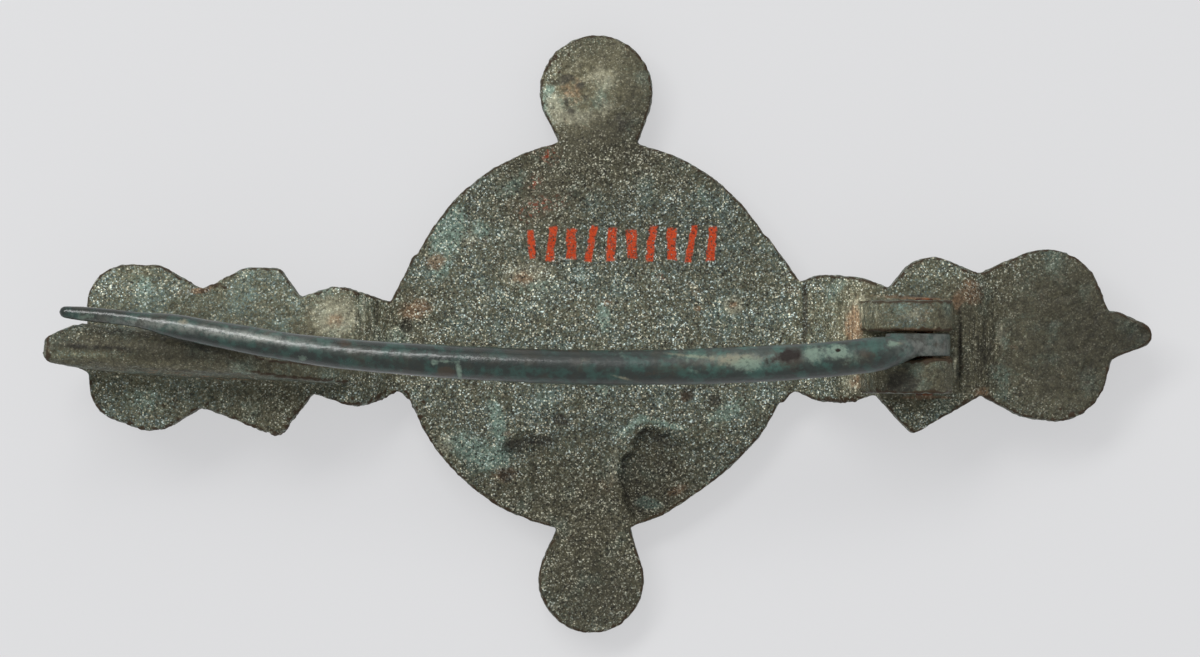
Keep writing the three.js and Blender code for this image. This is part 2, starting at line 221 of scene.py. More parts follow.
class Skin:
    """An even closed surface over one CAD node, as arrays that can be worked and painted."""

    def __init__(self, node: bpy.types.Object, voxel: float) -> None:
        """Wraps the node's solid.

        Args:
            node: The CAD node's object.
            voxel: Width of the skin's faces in millimetres.
        """
        wrap = bpy.data.objects.new("wrap", node.data.copy())
        bpy.context.scene.collection.objects.link(wrap)
        remesh = wrap.modifiers.new("even", "REMESH")
        remesh.mode = "VOXEL"
        remesh.voxel_size = voxel * MM
        evaluated = wrap.evaluated_get(bpy.context.evaluated_depsgraph_get())
        mesh = bpy.data.meshes.new_from_object(evaluated)
        flat = np.empty(len(mesh.vertices) * 3)
        mesh.vertices.foreach_get("co", flat)
        ends = np.empty(len(mesh.edges) * 2, dtype=np.int64)
        mesh.edges.foreach_get("vertices", ends)
        self.mesh = mesh
        self.points = flat.reshape(-1, 3) / MM
        self.ends = ends.reshape(-1, 2)
        self.stains = {stain: np.zeros(len(self.points)) for stain in Stain}
        # Lightness factor of each point: lighter and darker patina, and also painted light and shade.
        self.tone = np.ones(len(self.points))
        self.edge = np.zeros(len(self.points))
        bpy.data.objects.remove(wrap)

    def spread(self, values: np.ndarray) -> np.ndarray:
        """The mean of each point's neighbours.

        Args:
            values: One value or one row of values for each point.

        Returns:
            The neighbours' means, in the same form.
        """
        a, b = self.ends.T
        count = len(self.points)
        links = np.bincount(a, minlength=count) + np.bincount(b, minlength=count)
        columns = values.reshape(count, -1).T
        sums = [
            np.bincount(a, column[b], minlength=count) + np.bincount(b, column[a], minlength=count)
            for column in columns
        ]
        return (np.array(sums) / links).T.reshape(values.shape)

    def smooth(self, passes: int, back: float = 0.0, share: np.ndarray | None = None) -> None:
        """Rounds the surface.

        Args:
            passes: How many times each point moves half way to its neighbours.
            back: Share of that step taken back after each pass, so that a thin form keeps its girth.
            share: How much of the rounding each point takes, or None for all of it.
        """
        step = 0.5 if share is None else 0.5 * share[:, None]
        for _ in range(passes):
            self.points += step * (self.spread(self.points) - self.points)
            if back:
                self.points -= back * step * (self.spread(self.points) - self.points)

    def normals(self) -> np.ndarray:
        """The outward direction at each point."""
        self.write()
        flat = np.empty(len(self.points) * 3)
        self.mesh.vertices.foreach_get("normal", flat)
        return flat.reshape(-1, 3)

    def push(self, distances: np.ndarray, normals: np.ndarray) -> None:
        """Moves each point out along its normal.

        Args:
            distances: One distance for each point, negative inwards.
            normals: The directions.
        """
        self.points += distances[:, None] * normals

    def swell(self, unevenness: Unevenness, more: float | np.ndarray = 0.0) -> None:
        """Moves the points about in all directions, which also makes the outline uneven.

        Args:
            unevenness: The noise and its amount.
            more: Added to the amount, for all points or for each one.
        """
        amount = unevenness.amount + more
        for axis in range(3):
            self.points[:, axis] += amount * unevenness.wave(self.points, SEED_STEP * axis)

    def find_edges(self, sharp: float) -> None:
        """Notes where the surface is convex, as 1 on an edge and 0 on a flat.

        Args:
            sharp: How far a point stands out from its neighbours on a full edge.
        """
        normals = self.normals()
        proud = ((self.points - self.spread(self.points)) * normals).sum(axis=1)
        self.edge = ease(0.0, sharp, self.spread(proud))

    def paint(self, stain: Stain, marks: tuple[Mark, ...], mask: np.ndarray) -> None:
        """Adds marks to one kind of stain.

        Args:
            stain: The kind.
            marks: The marks, which add up.
            mask: Share of the marks that each point takes.
        """
        for mark in marks:
            self.stains[stain] += mark.field(self.points) * mask

    def write(self) -> None:
        """Puts the points back in the mesh, in metres."""
        self.mesh.vertices.foreach_set("co", (self.points * MM).ravel())
        self.mesh.update()

    def thinned(self, most: int) -> bpy.types.Mesh:
        """The mesh with its flatter stretches drawn by fewer faces.

        Args:
            most: Greatest number of triangles.

        Returns:
            The mesh, or the skin's own where it has no more than that.
        """
        triangles = 2 * len(self.mesh.polygons)
        if triangles <= most:
            return self.mesh
        dense = bpy.data.objects.new("dense", self.mesh)
        bpy.context.scene.collection.objects.link(dense)
        thinning = dense.modifiers.new("thinning", "DECIMATE")
        thinning.ratio = most / triangles
        evaluated = dense.evaluated_get(bpy.context.evaluated_depsgraph_get())
        mesh = bpy.data.meshes.new_from_object(evaluated)
        bpy.data.objects.remove(dense)
        return mesh

    def piece(self, name: str, material: bpy.types.Material, slot: str, body: str) -> bpy.types.Object:
        """Makes the finished object, which stands for the node of the same name.

        Args:
            name: Name of the CAD node.
            material: Its finish.
            slot: Not used.
            body: The CAD body that it moves with.

        Returns:
            The object, at the origin.
        """
        self.write()
        layers = {stain.value: values for stain, values in self.stains.items()}
        for label, values in {**layers, "tone": self.tone, "edge": self.edge}.items():
            layer = self.mesh.attributes.new(label, "FLOAT", "POINT")
            layer.data.foreach_set("value", values.astype(np.float32))
        mesh = self.thinned(MOST_TRIANGLES)
        flat = np.empty(len(mesh.vertices) * 3)
        mesh.vertices.foreach_get("co", flat)
        low, high = (np.array(corner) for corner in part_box(name))
        mesh.vertices.foreach_set("co", np.clip(flat.reshape(-1, 3), low, high).ravel())
        mesh.shade_smooth()
        mesh.materials.clear()
        mesh.materials.append(material)
        mesh.update()
        dressed = bpy.data.objects.new(name + "_skin", mesh)
        bpy.context.scene.collection.objects.link(dressed)
        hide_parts(name)
        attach(dressed, body)
        return dressed


class Value:
    """A number that varies over a surface: an output socket that takes arithmetic."""

    def __init__(self, graph: "Graph", socket: bpy.types.NodeSocket) -> None:
        """Wraps a socket of a graph.

        Args:
            graph: The graph that new nodes go in.
            socket: The output socket.
        """
        self.graph = graph
        self.socket = socket

    def _math(self, operation: str, first: "Value | float", second: "Value | float") -> "Value":
        """Adds one Math node.

        Args:
            operation: The node's operation.
            first: Its first term.
            second: Its second term.

        Returns:
            The result.
        """
        made = self.graph.node("ShaderNodeMath", {"operation": operation}, {0: first, 1: second})
        return Value(self.graph, made.outputs[0])

    def __add__(self, other: "Value | float") -> "Value":
        """Sum."""
        return self._math("ADD", self, other)

    def __radd__(self, other: float) -> "Value":
        """Sum with a plain number first."""
        return self._math("ADD", other, self)

    def __sub__(self, other: "Value | float") -> "Value":
        """Difference."""
        return self._math("SUBTRACT", self, other)

    def __rsub__(self, other: float) -> "Value":
        """Difference with a plain number first."""
        return self._math("SUBTRACT", other, self)

    def __mul__(self, other: "Value | float") -> "Value":
        """Product."""
        return self._math("MULTIPLY", self, other)

    def __rmul__(self, other: float) -> "Value":
        """Product with a plain number first."""
        return self._math("MULTIPLY", other, self)

    def __pow__(self, other: float) -> "Value":
        """Power."""
        return self._math("POWER", self, other)

    def __abs__(self) -> "Value":
        """Size without its sign."""
        return self._math("ABSOLUTE", self, 0.0)

    def floor(self) -> "Value":
        """Whole number below."""
        return self._math("FLOOR", self, 0.0)

    def fraction(self) -> "Value":
        """What is left over the whole number below."""
        return self._math("FRACT", self, 0.0)

    def ease(self, low: float, high: float) -> "Value":
        """Rises smoothly from 0 at low to 1 at high, or falls where low is the greater.

        Args:
            low: Value that gives 0.
            high: Value that gives 1.

        Returns:
            The share.
        """
        made = self.graph.node(
            "ShaderNodeMapRange",
            {"interpolation_type": "SMOOTHSTEP"},
            {"Value": self, "From Min": low, "From Max": high},
        )
        return Value(self.graph, made.outputs[0])


class Graph:
    """The nodes of one material, with the ways in which they are made."""

    MIX_FACTOR = 0
    MIX_A = 6
    MIX_B = 7
    MIX_RESULT = 2

    def __init__(self, name: str) -> None:
        """Starts a material with an empty graph.

        Args:
            name: The material's name.
        """
        self.material = bpy.data.materials.new(name)
        self.material.use_nodes = True
        self.tree = self.material.node_tree
        self.tree.nodes.clear()
        coordinates = self.node("ShaderNodeTexCoord", {}, {})
        scaled = self.node(
            "ShaderNodeVectorMath",
            {"operation": "SCALE"},
            {0: coordinates.outputs["Object"], "Scale": 1.0 / MM},
        )
        self.place = scaled.outputs[0]

    def node(self, kind: str, settings: dict, sockets: dict) -> bpy.types.Node:
        """Adds a node.

        Args:
            kind: The node's type.
            settings: Its properties, set first.
            sockets: Values or links for its inputs, by name or number.

        Returns:
            The node.
        """
        made = self.tree.nodes.new(kind)
        for key, value in settings.items():
            setattr(made, key, value)
        for key, value in sockets.items():
            link = value.socket if isinstance(value, Value) else value
            if isinstance(link, bpy.types.NodeSocket):
                self.tree.links.new(link, made.inputs[key])
            else:
                made.inputs[key].default_value = link
        return made

    def attribute(self, name: str) -> Value:
        """A number painted on the mesh, by its layer's name."""
        return Value(self, self.node("ShaderNodeAttribute", {"attribute_name": name}, {}).outputs["Fac"])

    def noise(self, per_mm: float, detail: float, rough: float = 0.5, at: object = None) -> Value:
        """Cloudy noise from 0 to 1.

        Args:
            per_mm: Clouds in a millimetre.
            detail: Finer octaves.
            rough: How strong the finer octaves are.
            at: Place to read it at, or None for the surface's own.

        Returns:
            The noise.
        """
        made = self.node(
            "ShaderNodeTexNoise",
            {},
            {"Vector": at or self.place, "Scale": per_mm, "Detail": detail, "Roughness": rough},
        )
        return Value(self, made.outputs["Fac"])

    def grains(self, per_mm: float, at: object = None) -> tuple[Value, Value, Value]:
        """Scattered grains, each with two numbers of its own from 0 to 1.

        Args:
            per_mm: Grains in a millimetre.
            at: Place to read them at, or None for the surface's own.

        Returns:
            The grain's first number, its second one, and the distance from its middle in widths.
        """
        made = self.node("ShaderNodeTexVoronoi", {}, {"Vector": at or self.place, "Scale": per_mm})
        split = self.node("ShaderNodeSeparateColor", {}, {"Color": made.outputs["Color"]})
        sockets = (split.outputs["Red"], split.outputs["Green"], made.outputs["Distance"])
        return tuple(Value(self, socket) for socket in sockets)

    def split(self, vector: bpy.types.NodeSocket) -> tuple[Value, Value, Value]:
        """The X, Y and Z of a vector."""
        made = self.node("ShaderNodeSeparateXYZ", {}, {0: vector})
        return tuple(Value(self, socket) for socket in made.outputs)

    def shifted(self, amount: float, per_mm: float) -> bpy.types.NodeSocket:
        """The surface's place, moved about by noise.

        Args:
            amount: Greatest shift in millimetres.
            per_mm: Clouds of the noise in a millimetre.

        Returns:
            The moved place.
        """
        cloud = self.node("ShaderNodeTexNoise", {}, {"Vector": self.place, "Scale": per_mm})
        made = self.node(
            "ShaderNodeVectorMath",
            {"operation": "MULTIPLY_ADD"},
            {0: cloud.outputs["Color"], 1: (2.0 * amount,) * 3, 2: self.place},
        )
        return made.outputs[0]

    def stretched(self, factors: tuple[float, float, float]) -> bpy.types.NodeSocket:
        """The surface's place with each axis scaled, which draws a noise out into streaks.

        Args:
            factors: Factor of each axis.

        Returns:
            The scaled place.
        """
        made = self.node("ShaderNodeVectorMath", {"operation": "MULTIPLY"}, {0: self.place, 1: factors})
        return made.outputs[0]

    def mix(self, first: object, second: object, share: "Value | float") -> bpy.types.NodeSocket:
        """Goes from one colour to another.

        Args:
            first: Colour or socket at share 0.
            second: Colour or socket at share 1.
            share: The share.

        Returns:
            The mixed colour's socket.
        """
        ends = {self.MIX_A: first, self.MIX_B: second}
        colours = {key: (*end, 1.0) if isinstance(end, tuple) else end for key, end in ends.items()}
        made = self.node("ShaderNodeMix", {"data_type": "RGBA"}, {self.MIX_FACTOR: share, **colours})
        return made.outputs[self.MIX_RESULT]

    def shade(self, colour: bpy.types.NodeSocket, brightness: Value) -> bpy.types.NodeSocket:
        """Makes a colour lighter or darker.

        Args:
            colour: The colour's socket.
            brightness: Factor on all its channels.

        Returns:
            The shaded colour's socket.
        """
        made = self.node(
            "ShaderNodeVectorMath", {"operation": "SCALE"}, {0: colour, "Scale": brightness}
        )
        return made.outputs[0]

    def bump(self, height: Value, depth: float, base: object = None) -> bpy.types.NodeSocket:
        """Bends the shading normal by a height.

        Args:
            height: Height from 0 to 1.
            depth: What a height of 1 stands for, in millimetres.
            base: Normal that it starts from, or None for the surface's own.

        Returns:
            The bent normal's socket.
        """
        sockets = {"Height": height, "Distance": depth * MM}
        if base is not None:
            sockets["Normal"] = base
        return self.node("ShaderNodeBump", {}, sockets).outputs[0]

    def finish(self, sockets: dict) -> bpy.types.Material:
        """Ends the graph with the surface's shader.

        Args:
            sockets: Inputs of the shader.

        Returns:
            The material.
        """
        shader = self.node("ShaderNodeBsdfPrincipled", {}, sockets)
        self.node("ShaderNodeOutputMaterial", {}, {"Surface": shader.outputs[0]})
        return self.material


@dataclass(frozen=True)
class PaintRow:
    """A row of leaning paint dabs on the back of the disc, colour only.

    Attributes:
        start: Left end of the row.
        middle: Height of the row's middle across the brooch.
        pitch: From one dab to the next.
        count: How many dabs there are.
        reach: Half of a dab's length.
        width: Half of a dab's width.
        lean: Sidestep of a dab for each millimetre of its length.
        lowest: Height above the floor from where the paint is seen, so that the front has none.
        colour: The paint.
        deep: The paint where it has soaked in.
    """

    start: float = -3.6
    middle: float = 4.72
    pitch: float = 1.0
    count: int = 10
    reach: float = 0.95
    width: float = 0.2
    lean: float = 0.3
    lowest: float = 1.7
    colour: Colour = (0.60, 0.065, 0.012)
    deep: Colour = (0.26, 0.026, 0.010)

    def mask(self, graph: Graph) -> Value:
        """Where the paint is.

        Args:
            graph: The material's graph.

        Returns:
            1 on the paint and 0 off it.
        """
        x, y, _ = graph.split(graph.shifted(0.13, 2.6))
        _, _, height = graph.split(graph.place)
        along = (x - self.start) * (1.0 / self.pitch)
        up = y - self.middle
        number = along.floor()
        swing = (number * 0.618).fraction()
        aside = (along.fraction() - 0.5) * self.pitch - up * (swing - 0.25) * self.lean
        length = self.reach * (0.75 + 0.25 * swing)
        broad = self.width * (0.8 + 0.5 * (number * 0.382).fraction())
        beside = (abs(aside) - broad).ease(0.05, -0.05)
        within = (abs(up) - length).ease(0.06, -0.06)
        ends = along.ease(0.0, 0.02) * along.ease(self.count + 0.02, self.count)
        worn = graph.noise(9.0, 2.0).ease(0.3, 0.42)
        return beside * within * ends * worn * height.ease(self.lowest - 0.1, self.lowest)


@dataclass(frozen=True)
class BronzePatina:
    """Matt grey-olive corrosion of the casting, full of pale grains, which also stand for painted glints,
    and fine pits.

    Attributes:
        umber: Browner part of the ground between the grains.
        olive: Greener part of the ground.
        teal: Bluer part of the ground.
        warm_grain_and_glint: Colour of the cream grains and painted glints.
        cool_grain_and_glint: Colour of the greenish grains and painted glints.
        verdigris: Blue-green crust.
        rust: Red-brown crust.
        pale: Buff crust.
        dark: Dark colour of bare skin and pits, also of the painted shade on the sinkings' walls and of the
            pin's painted shadow on the near lug.
        rim: Dark brown colour given to the convex edges.
        sheen: How strongly the surface mirrors, where 0.5 is a common varnish.
        fine_grains: Fine grains in a millimetre.
        coarse_grains: Coarse grains in a millimetre.
        grain_relief: Height of the fine grain in the shading, in millimetres.
        crust_relief: Height of the crusts in the shading.
        paint: The row of dabs on the disc.
    """

    umber: Colour = (0.094, 0.086, 0.052)
    olive: Colour = (0.094, 0.102, 0.068)
    teal: Colour = (0.076, 0.104, 0.100)
    warm_grain_and_glint: Colour = (0.64, 0.61, 0.46)
    cool_grain_and_glint: Colour = (0.54, 0.63, 0.60)
    verdigris: Colour = (0.16, 0.235, 0.19)
    rust: Colour = (0.195, 0.115, 0.062)
    pale: Colour = (0.27, 0.26, 0.185)
    dark: Colour = (0.028, 0.025, 0.018)
    rim: Colour = (0.040, 0.021, 0.008)
    sheen: float = 0.3
    fine_grains: float = 16.0
    coarse_grains: float = 9.0
    grain_relief: float = 0.02
    crust_relief: float = 0.05
    paint: PaintRow = field(default_factory=PaintRow)

    def stained(self, graph: Graph, stain: Stain, per_mm: float) -> Value:
        """Where a stain shows: its painted strength, broken up by noise.

        Args:
            graph: The material's graph.
            stain: The kind of stain.
            per_mm: Clouds of the noise in a millimetre.

        Returns:
            The stain's share.
        """
        ragged = graph.noise(per_mm, 4.0, 0.65) - 0.5
        return (graph.attribute(stain.value) + ragged * 0.9).ease(0.25, 0.75)

    def material(self) -> bpy.types.Material:
        """Builds the material."""
        graph = Graph("bronze_patina")
        loose = graph.shifted(0.02, 14.0)
        fine, fine_tint, fine_off = graph.grains(self.fine_grains, loose)
        coarse, coarse_tint, coarse_off = graph.grains(self.coarse_grains, loose)
        clouds = graph.noise(0.55, 5.0, 0.6)
        fog = graph.noise(2.6, 3.0, 0.6)
        mottle = graph.noise(7.0, 4.0, 0.7)
        smooth = graph.attribute(Stain.SMOOTH.value).ease(0.1, 0.9)
        # Browner hue from the warm layer; its negative mark keeps the catch's painted highlight grey.
        warm = graph.attribute(Stain.WARM_AND_HIGHLIGHT.value).ease(0.0, 1.0)
        lively = 1.0 - smooth * 0.8
        dusty = 0.4 + 0.7 * graph.noise(1.1, 4.0, 0.65).ease(0.35, 0.65)
        dark = self.stained(graph, Stain.DARK, 3.0)

        # Pale grains over the ground, which also stand for painted glints.
        sparks = fine**9.0 * fine_off.ease(0.95, 0.35)
        crumbs = coarse**12.0 * coarse_off.ease(0.7, 0.3)
        speckle_and_glint = (sparks * 1.5 + crumbs) * lively * dusty * (1.0 - dark * 0.6)
        pits = coarse.ease(0.3, 0.1) * coarse_off.ease(0.8, 0.25) * (0.3 + 0.7 * lively)
        rugged = graph.noise(4.2, 3.0, 0.75)
        grain = graph.mix(self.warm_grain_and_glint, self.cool_grain_and_glint, fine_tint.ease(0.35, 0.65) * (1.0 - warm * 0.8))
        hue = mottle * 0.5 + clouds * 0.35 + fine_tint * 0.15 - warm * 0.13
        colour = graph.mix(self.umber, self.olive, hue.ease(0.38, 0.52))
        colour = graph.mix(colour, self.teal, hue.ease(0.5, 0.62))
        colour = graph.mix(colour, self.verdigris, clouds.ease(0.52, 0.75) * 0.5)
        colour = graph.mix(colour, self.rust, graph.noise(1.1, 4.0, 0.7).ease(0.58, 0.75) * 0.4)
        colour = graph.mix(colour, self.pale, self.stained(graph, Stain.PALE, 3.0) * 0.6)
        colour = graph.mix(colour, self.verdigris, self.stained(graph, Stain.VERDIGRIS, 3.5) * 0.75)
        colour = graph.mix(colour, self.rust, self.stained(graph, Stain.RUST, 4.0) * 0.75)
        colour = graph.mix(colour, self.dark, dark * 0.8)
        colour = graph.mix(colour, grain, speckle_and_glint)
        colour = graph.mix(colour, self.dark, pits * 0.9)
        cell = 1.0 + (coarse_tint + fine - 1.0) * (0.25 + 0.45 * lively)
        blotches = 1.0 + smooth * (graph.noise(3.4, 4.0, 0.75) - 0.5) * 2.2
        streaks = graph.noise(9.0, 3.0, 0.6, graph.stretched((1.0, 0.1, 0.3))) - 0.5
        scored = 1.0 + graph.attribute(Stain.STREAK.value) * streaks * 2.4
        brightness = (0.5 * fog + 0.75 * mottle + 0.65 * rugged) * cell * scored
        # The lightness layer makes the colour lighter and darker: patina, and also painted light and shade.
        brightness = brightness * blotches * graph.attribute("tone")
        colour = graph.shade(colour, brightness)
        # Convex edges take the dark rim colour.
        colour = graph.mix(colour, self.rim, graph.attribute("edge").ease(0.25, 0.7) * 0.9)
        paint = graph.mix(self.paint.deep, self.paint.colour, graph.noise(11.0, 3.0, 0.7).ease(0.36, 0.52))
        trace = graph.attribute(Stain.TRACE.value) * graph.noise(6.0, 3.0, 0.7).ease(0.5, 0.62)
        colour = graph.mix(colour, paint, trace * 0.5)
        colour = graph.mix(colour, paint, self.paint.mask(graph) * (1.0 - pits * 0.8))

        relief = graph.bump(graph.noise(9.0, 3.0, 0.6) * lively, self.grain_relief)
        relief = graph.bump(graph.noise(3.0, 4.0, 0.65), self.crust_relief, relief)
        rough = 0.66 + 0.16 * fog - smooth * 0.16
        return graph.finish(
            {"Base Color": colour, "Roughness": rough, "Specular IOR Level": self.sheen, "Normal": relief}
        )


@dataclass(frozen=True)
class PinPatina:
    """Smooth dark green skin of the pin, with a low gloss and a few crusts.

    Attributes:
        ground: Dark green skin.
        teal: Its bluer clouds.
        brown: Its browner clouds.
        crust: Pale green crust.
        buff: Buff rub marks.
        bare: Dark brown where the skin has gone.
        rusty: Red-brown stain round it.
        dust_and_highlight: Grey of the dusting rubbed in, and also of the painted highlight along the
            wire's upper side and the painted pale reflection along its lower edge.
        gloss_to: Where along the brooch the skin has lost its gloss.
        gloss_fade: Stretch over which it loses it.
        relief: Height of the unevenness in the shading, in millimetres.
        ior: Refractive index of the skin.
    """

    ground: Colour = (0.009, 0.017, 0.013)
    teal: Colour = (0.016, 0.054, 0.042)
    brown: Colour = (0.028, 0.022, 0.010)
    crust: Colour = (0.22, 0.305, 0.235)
    buff: Colour = (0.30, 0.28, 0.19)
    bare: Colour = (0.012, 0.006, 0.003)
    rusty: Colour = (0.045, 0.026, 0.010)
    dust_and_highlight: Colour = (0.130, 0.138, 0.122)
    gloss_to: float = 2.0
    gloss_fade: float = 10.0
    relief: float = 0.03
    ior: float = 1.63

    def painted(self, graph: Graph, stain: Stain) -> Value:
        """Where a painted stain shows.

        Args:
            graph: The material's graph.
            stain: The kind of stain.

        Returns:
            The stain's share.
        """
        ragged = graph.noise(4.0, 4.0, 0.65) - 0.5
        return (graph.attribute(stain.value) + ragged * 1.1).ease(0.25, 0.85)

    def material(self) -> bpy.types.Material:
        """Builds the material."""
        graph = Graph("pin_patina")
        clouds = graph.noise(1.3, 5.0, 0.65)
        fine = graph.noise(6.0, 3.0, 0.6)
        mottle = graph.noise(3.2, 4.0, 0.7)
        colour = graph.mix(self.ground, self.teal, clouds.ease(0.44, 0.62))
        colour = graph.mix(colour, self.brown, graph.noise(0.6, 4.0, 0.6).ease(0.5, 0.68) * 0.6)
        # Grey dusting, and also a painted highlight and a painted pale reflection, from the warm layer; the
        # lightness layer brightens the painted highlight too.
        dusty = graph.attribute(Stain.WARM_AND_HIGHLIGHT.value) * (0.35 + 0.65 * mottle.ease(0.35, 0.6))
        colour = graph.mix(colour, self.dust_and_highlight, dusty)
        colour = graph.shade(colour, (0.3 + 1.4 * mottle) * graph.attribute("tone"))
        crust = graph.mix(self.teal, self.crust, fine.ease(0.2, 0.55))
        buff = graph.mix(self.brown, self.buff, fine.ease(0.2, 0.5))
        colour = graph.mix(colour, buff, self.painted(graph, Stain.PALE) * 0.75)
        colour = graph.mix(colour, crust, self.painted(graph, Stain.VERDIGRIS) * 0.8)
        colour = graph.mix(colour, self.rusty, self.painted(graph, Stain.RUST) * 0.8)
        bared = self.painted(graph, Stain.DARK)
        colour = graph.mix(colour, self.bare, bared)
        relief = graph.bump(graph.noise(2.5, 4.0, 0.6), self.relief)
        crusts = self.painted(graph, Stain.VERDIGRIS) + self.painted(graph, Stain.PALE)
        along, _, _ = graph.split(graph.place)
        worn = along.ease(self.gloss_to - self.gloss_fade, self.gloss_to)
        rough = 0.15 + 0.18 * fine + worn * 0.2 + crusts * 0.25 + bared * 0.4
        return graph.finish({"Base Color": colour, "Roughness": rough, "IOR": self.ior, "Normal": relief})


@dataclass(frozen=True)
class RustyIron:
    """Flaking brown rust of the hinge's rod.

    Attributes:
        deep: Dark rust.
        bright: Orange bloom.
        relief: Height of the flakes in the shading, in millimetres.
    """

    deep: Colour = (0.05, 0.022, 0.012)
    bright: Colour = (0.23, 0.085, 0.03)
    relief: float = 0.06

    def material(self) -> bpy.types.Material:
        """Builds the material."""
        graph = Graph("rusty_iron")
        flakes = graph.noise(3.5, 5.0, 0.7)
        colour = graph.mix(self.deep, self.bright, flakes.ease(0.4, 0.65))
        relief = graph.bump(flakes, self.relief)
        return graph.finish({"Base Color": colour, "Roughness": 0.75 + 0.2 * flakes, "Normal": relief})


@dataclass(frozen=True)
class LightTable:
    """Plain pale floor, lit faintly from below so that shadows on it stay weak.

    Attributes:
        colour: Colour of its matt face.
        glow: Colour of the light from below.
        reach: Half its width in millimetres.
        gap: How far it lies under the brooch, so that the two never share a plane.
    """

    colour: Colour = (0.25, 0.25, 0.25)
    glow: Colour = (0.50, 0.50, 0.51)
    reach: float = 900.0
    gap: float = 0.02

    def build(self) -> bpy.types.Object:
        """Lays the floor.

        Returns:
            The floor's object.
        """
        graph = Graph("light_table")
        cloud = 0.985 + 0.03 * graph.noise(0.012, 1.0)
        sockets = {
            "Base Color": graph.shade((*self.colour,), cloud),
            "Emission Color": graph.shade((*self.glow,), cloud),
            "Emission Strength": 1.0,
            "Roughness": 0.9,
        }
        material = graph.finish(sockets)
        reach = self.reach * MM
        corners = [(x * reach, y * reach, -self.gap * MM) for x, y in ((-1, -1), (1, -1), (1, 1), (-1, 1))]
        mesh = bpy.data.meshes.new("floor")
        mesh.from_pydata(corners, [], [(0, 1, 2, 3)])
        mesh.materials.append(material)
        floor = bpy.data.objects.new("floor", mesh)
        bpy.context.scene.collection.objects.link(floor)
        return floor


@dataclass(frozen=True)
class SlotWall:
    """The far lug's wall beside the pin's eye, which leans towards the pin at its outer end.

    Attributes:
        shift: How far the outer end stands nearer to the pin, well within the clearance of its eye.
        outer_x: Where along the brooch the shift is full.
        inner_x: Where it has gone.
        wall_y: Where across the brooch the wall is.
        fade: Width over which the shift dies out into the lug.
        lowest: Height from where it starts.
    """

    shift: float = 0.04
    outer_x: float = 13.9
    inner_x: float = 16.8
    wall_y: float = 0.24
    fade: float = 0.9
    lowest: float = 5.0

    def lean(self, skin: Skin) -> None:
        """Moves the wall.

        Args:
            skin: The casting's skin.
        """
        x, y, z = skin.points.T
        beside = ease(self.wall_y - 0.25, self.wall_y - 0.1, y)
        beside = beside * ease(self.wall_y + self.fade, self.wall_y, y)
        along = ease(self.inner_x, self.outer_x, x) * ease(self.outer_x - 0.8, self.outer_x - 0.2, x)
        skin.points[:, 1] -= self.shift * beside * along * ease(self.lowest, self.lowest + 0.6, z)


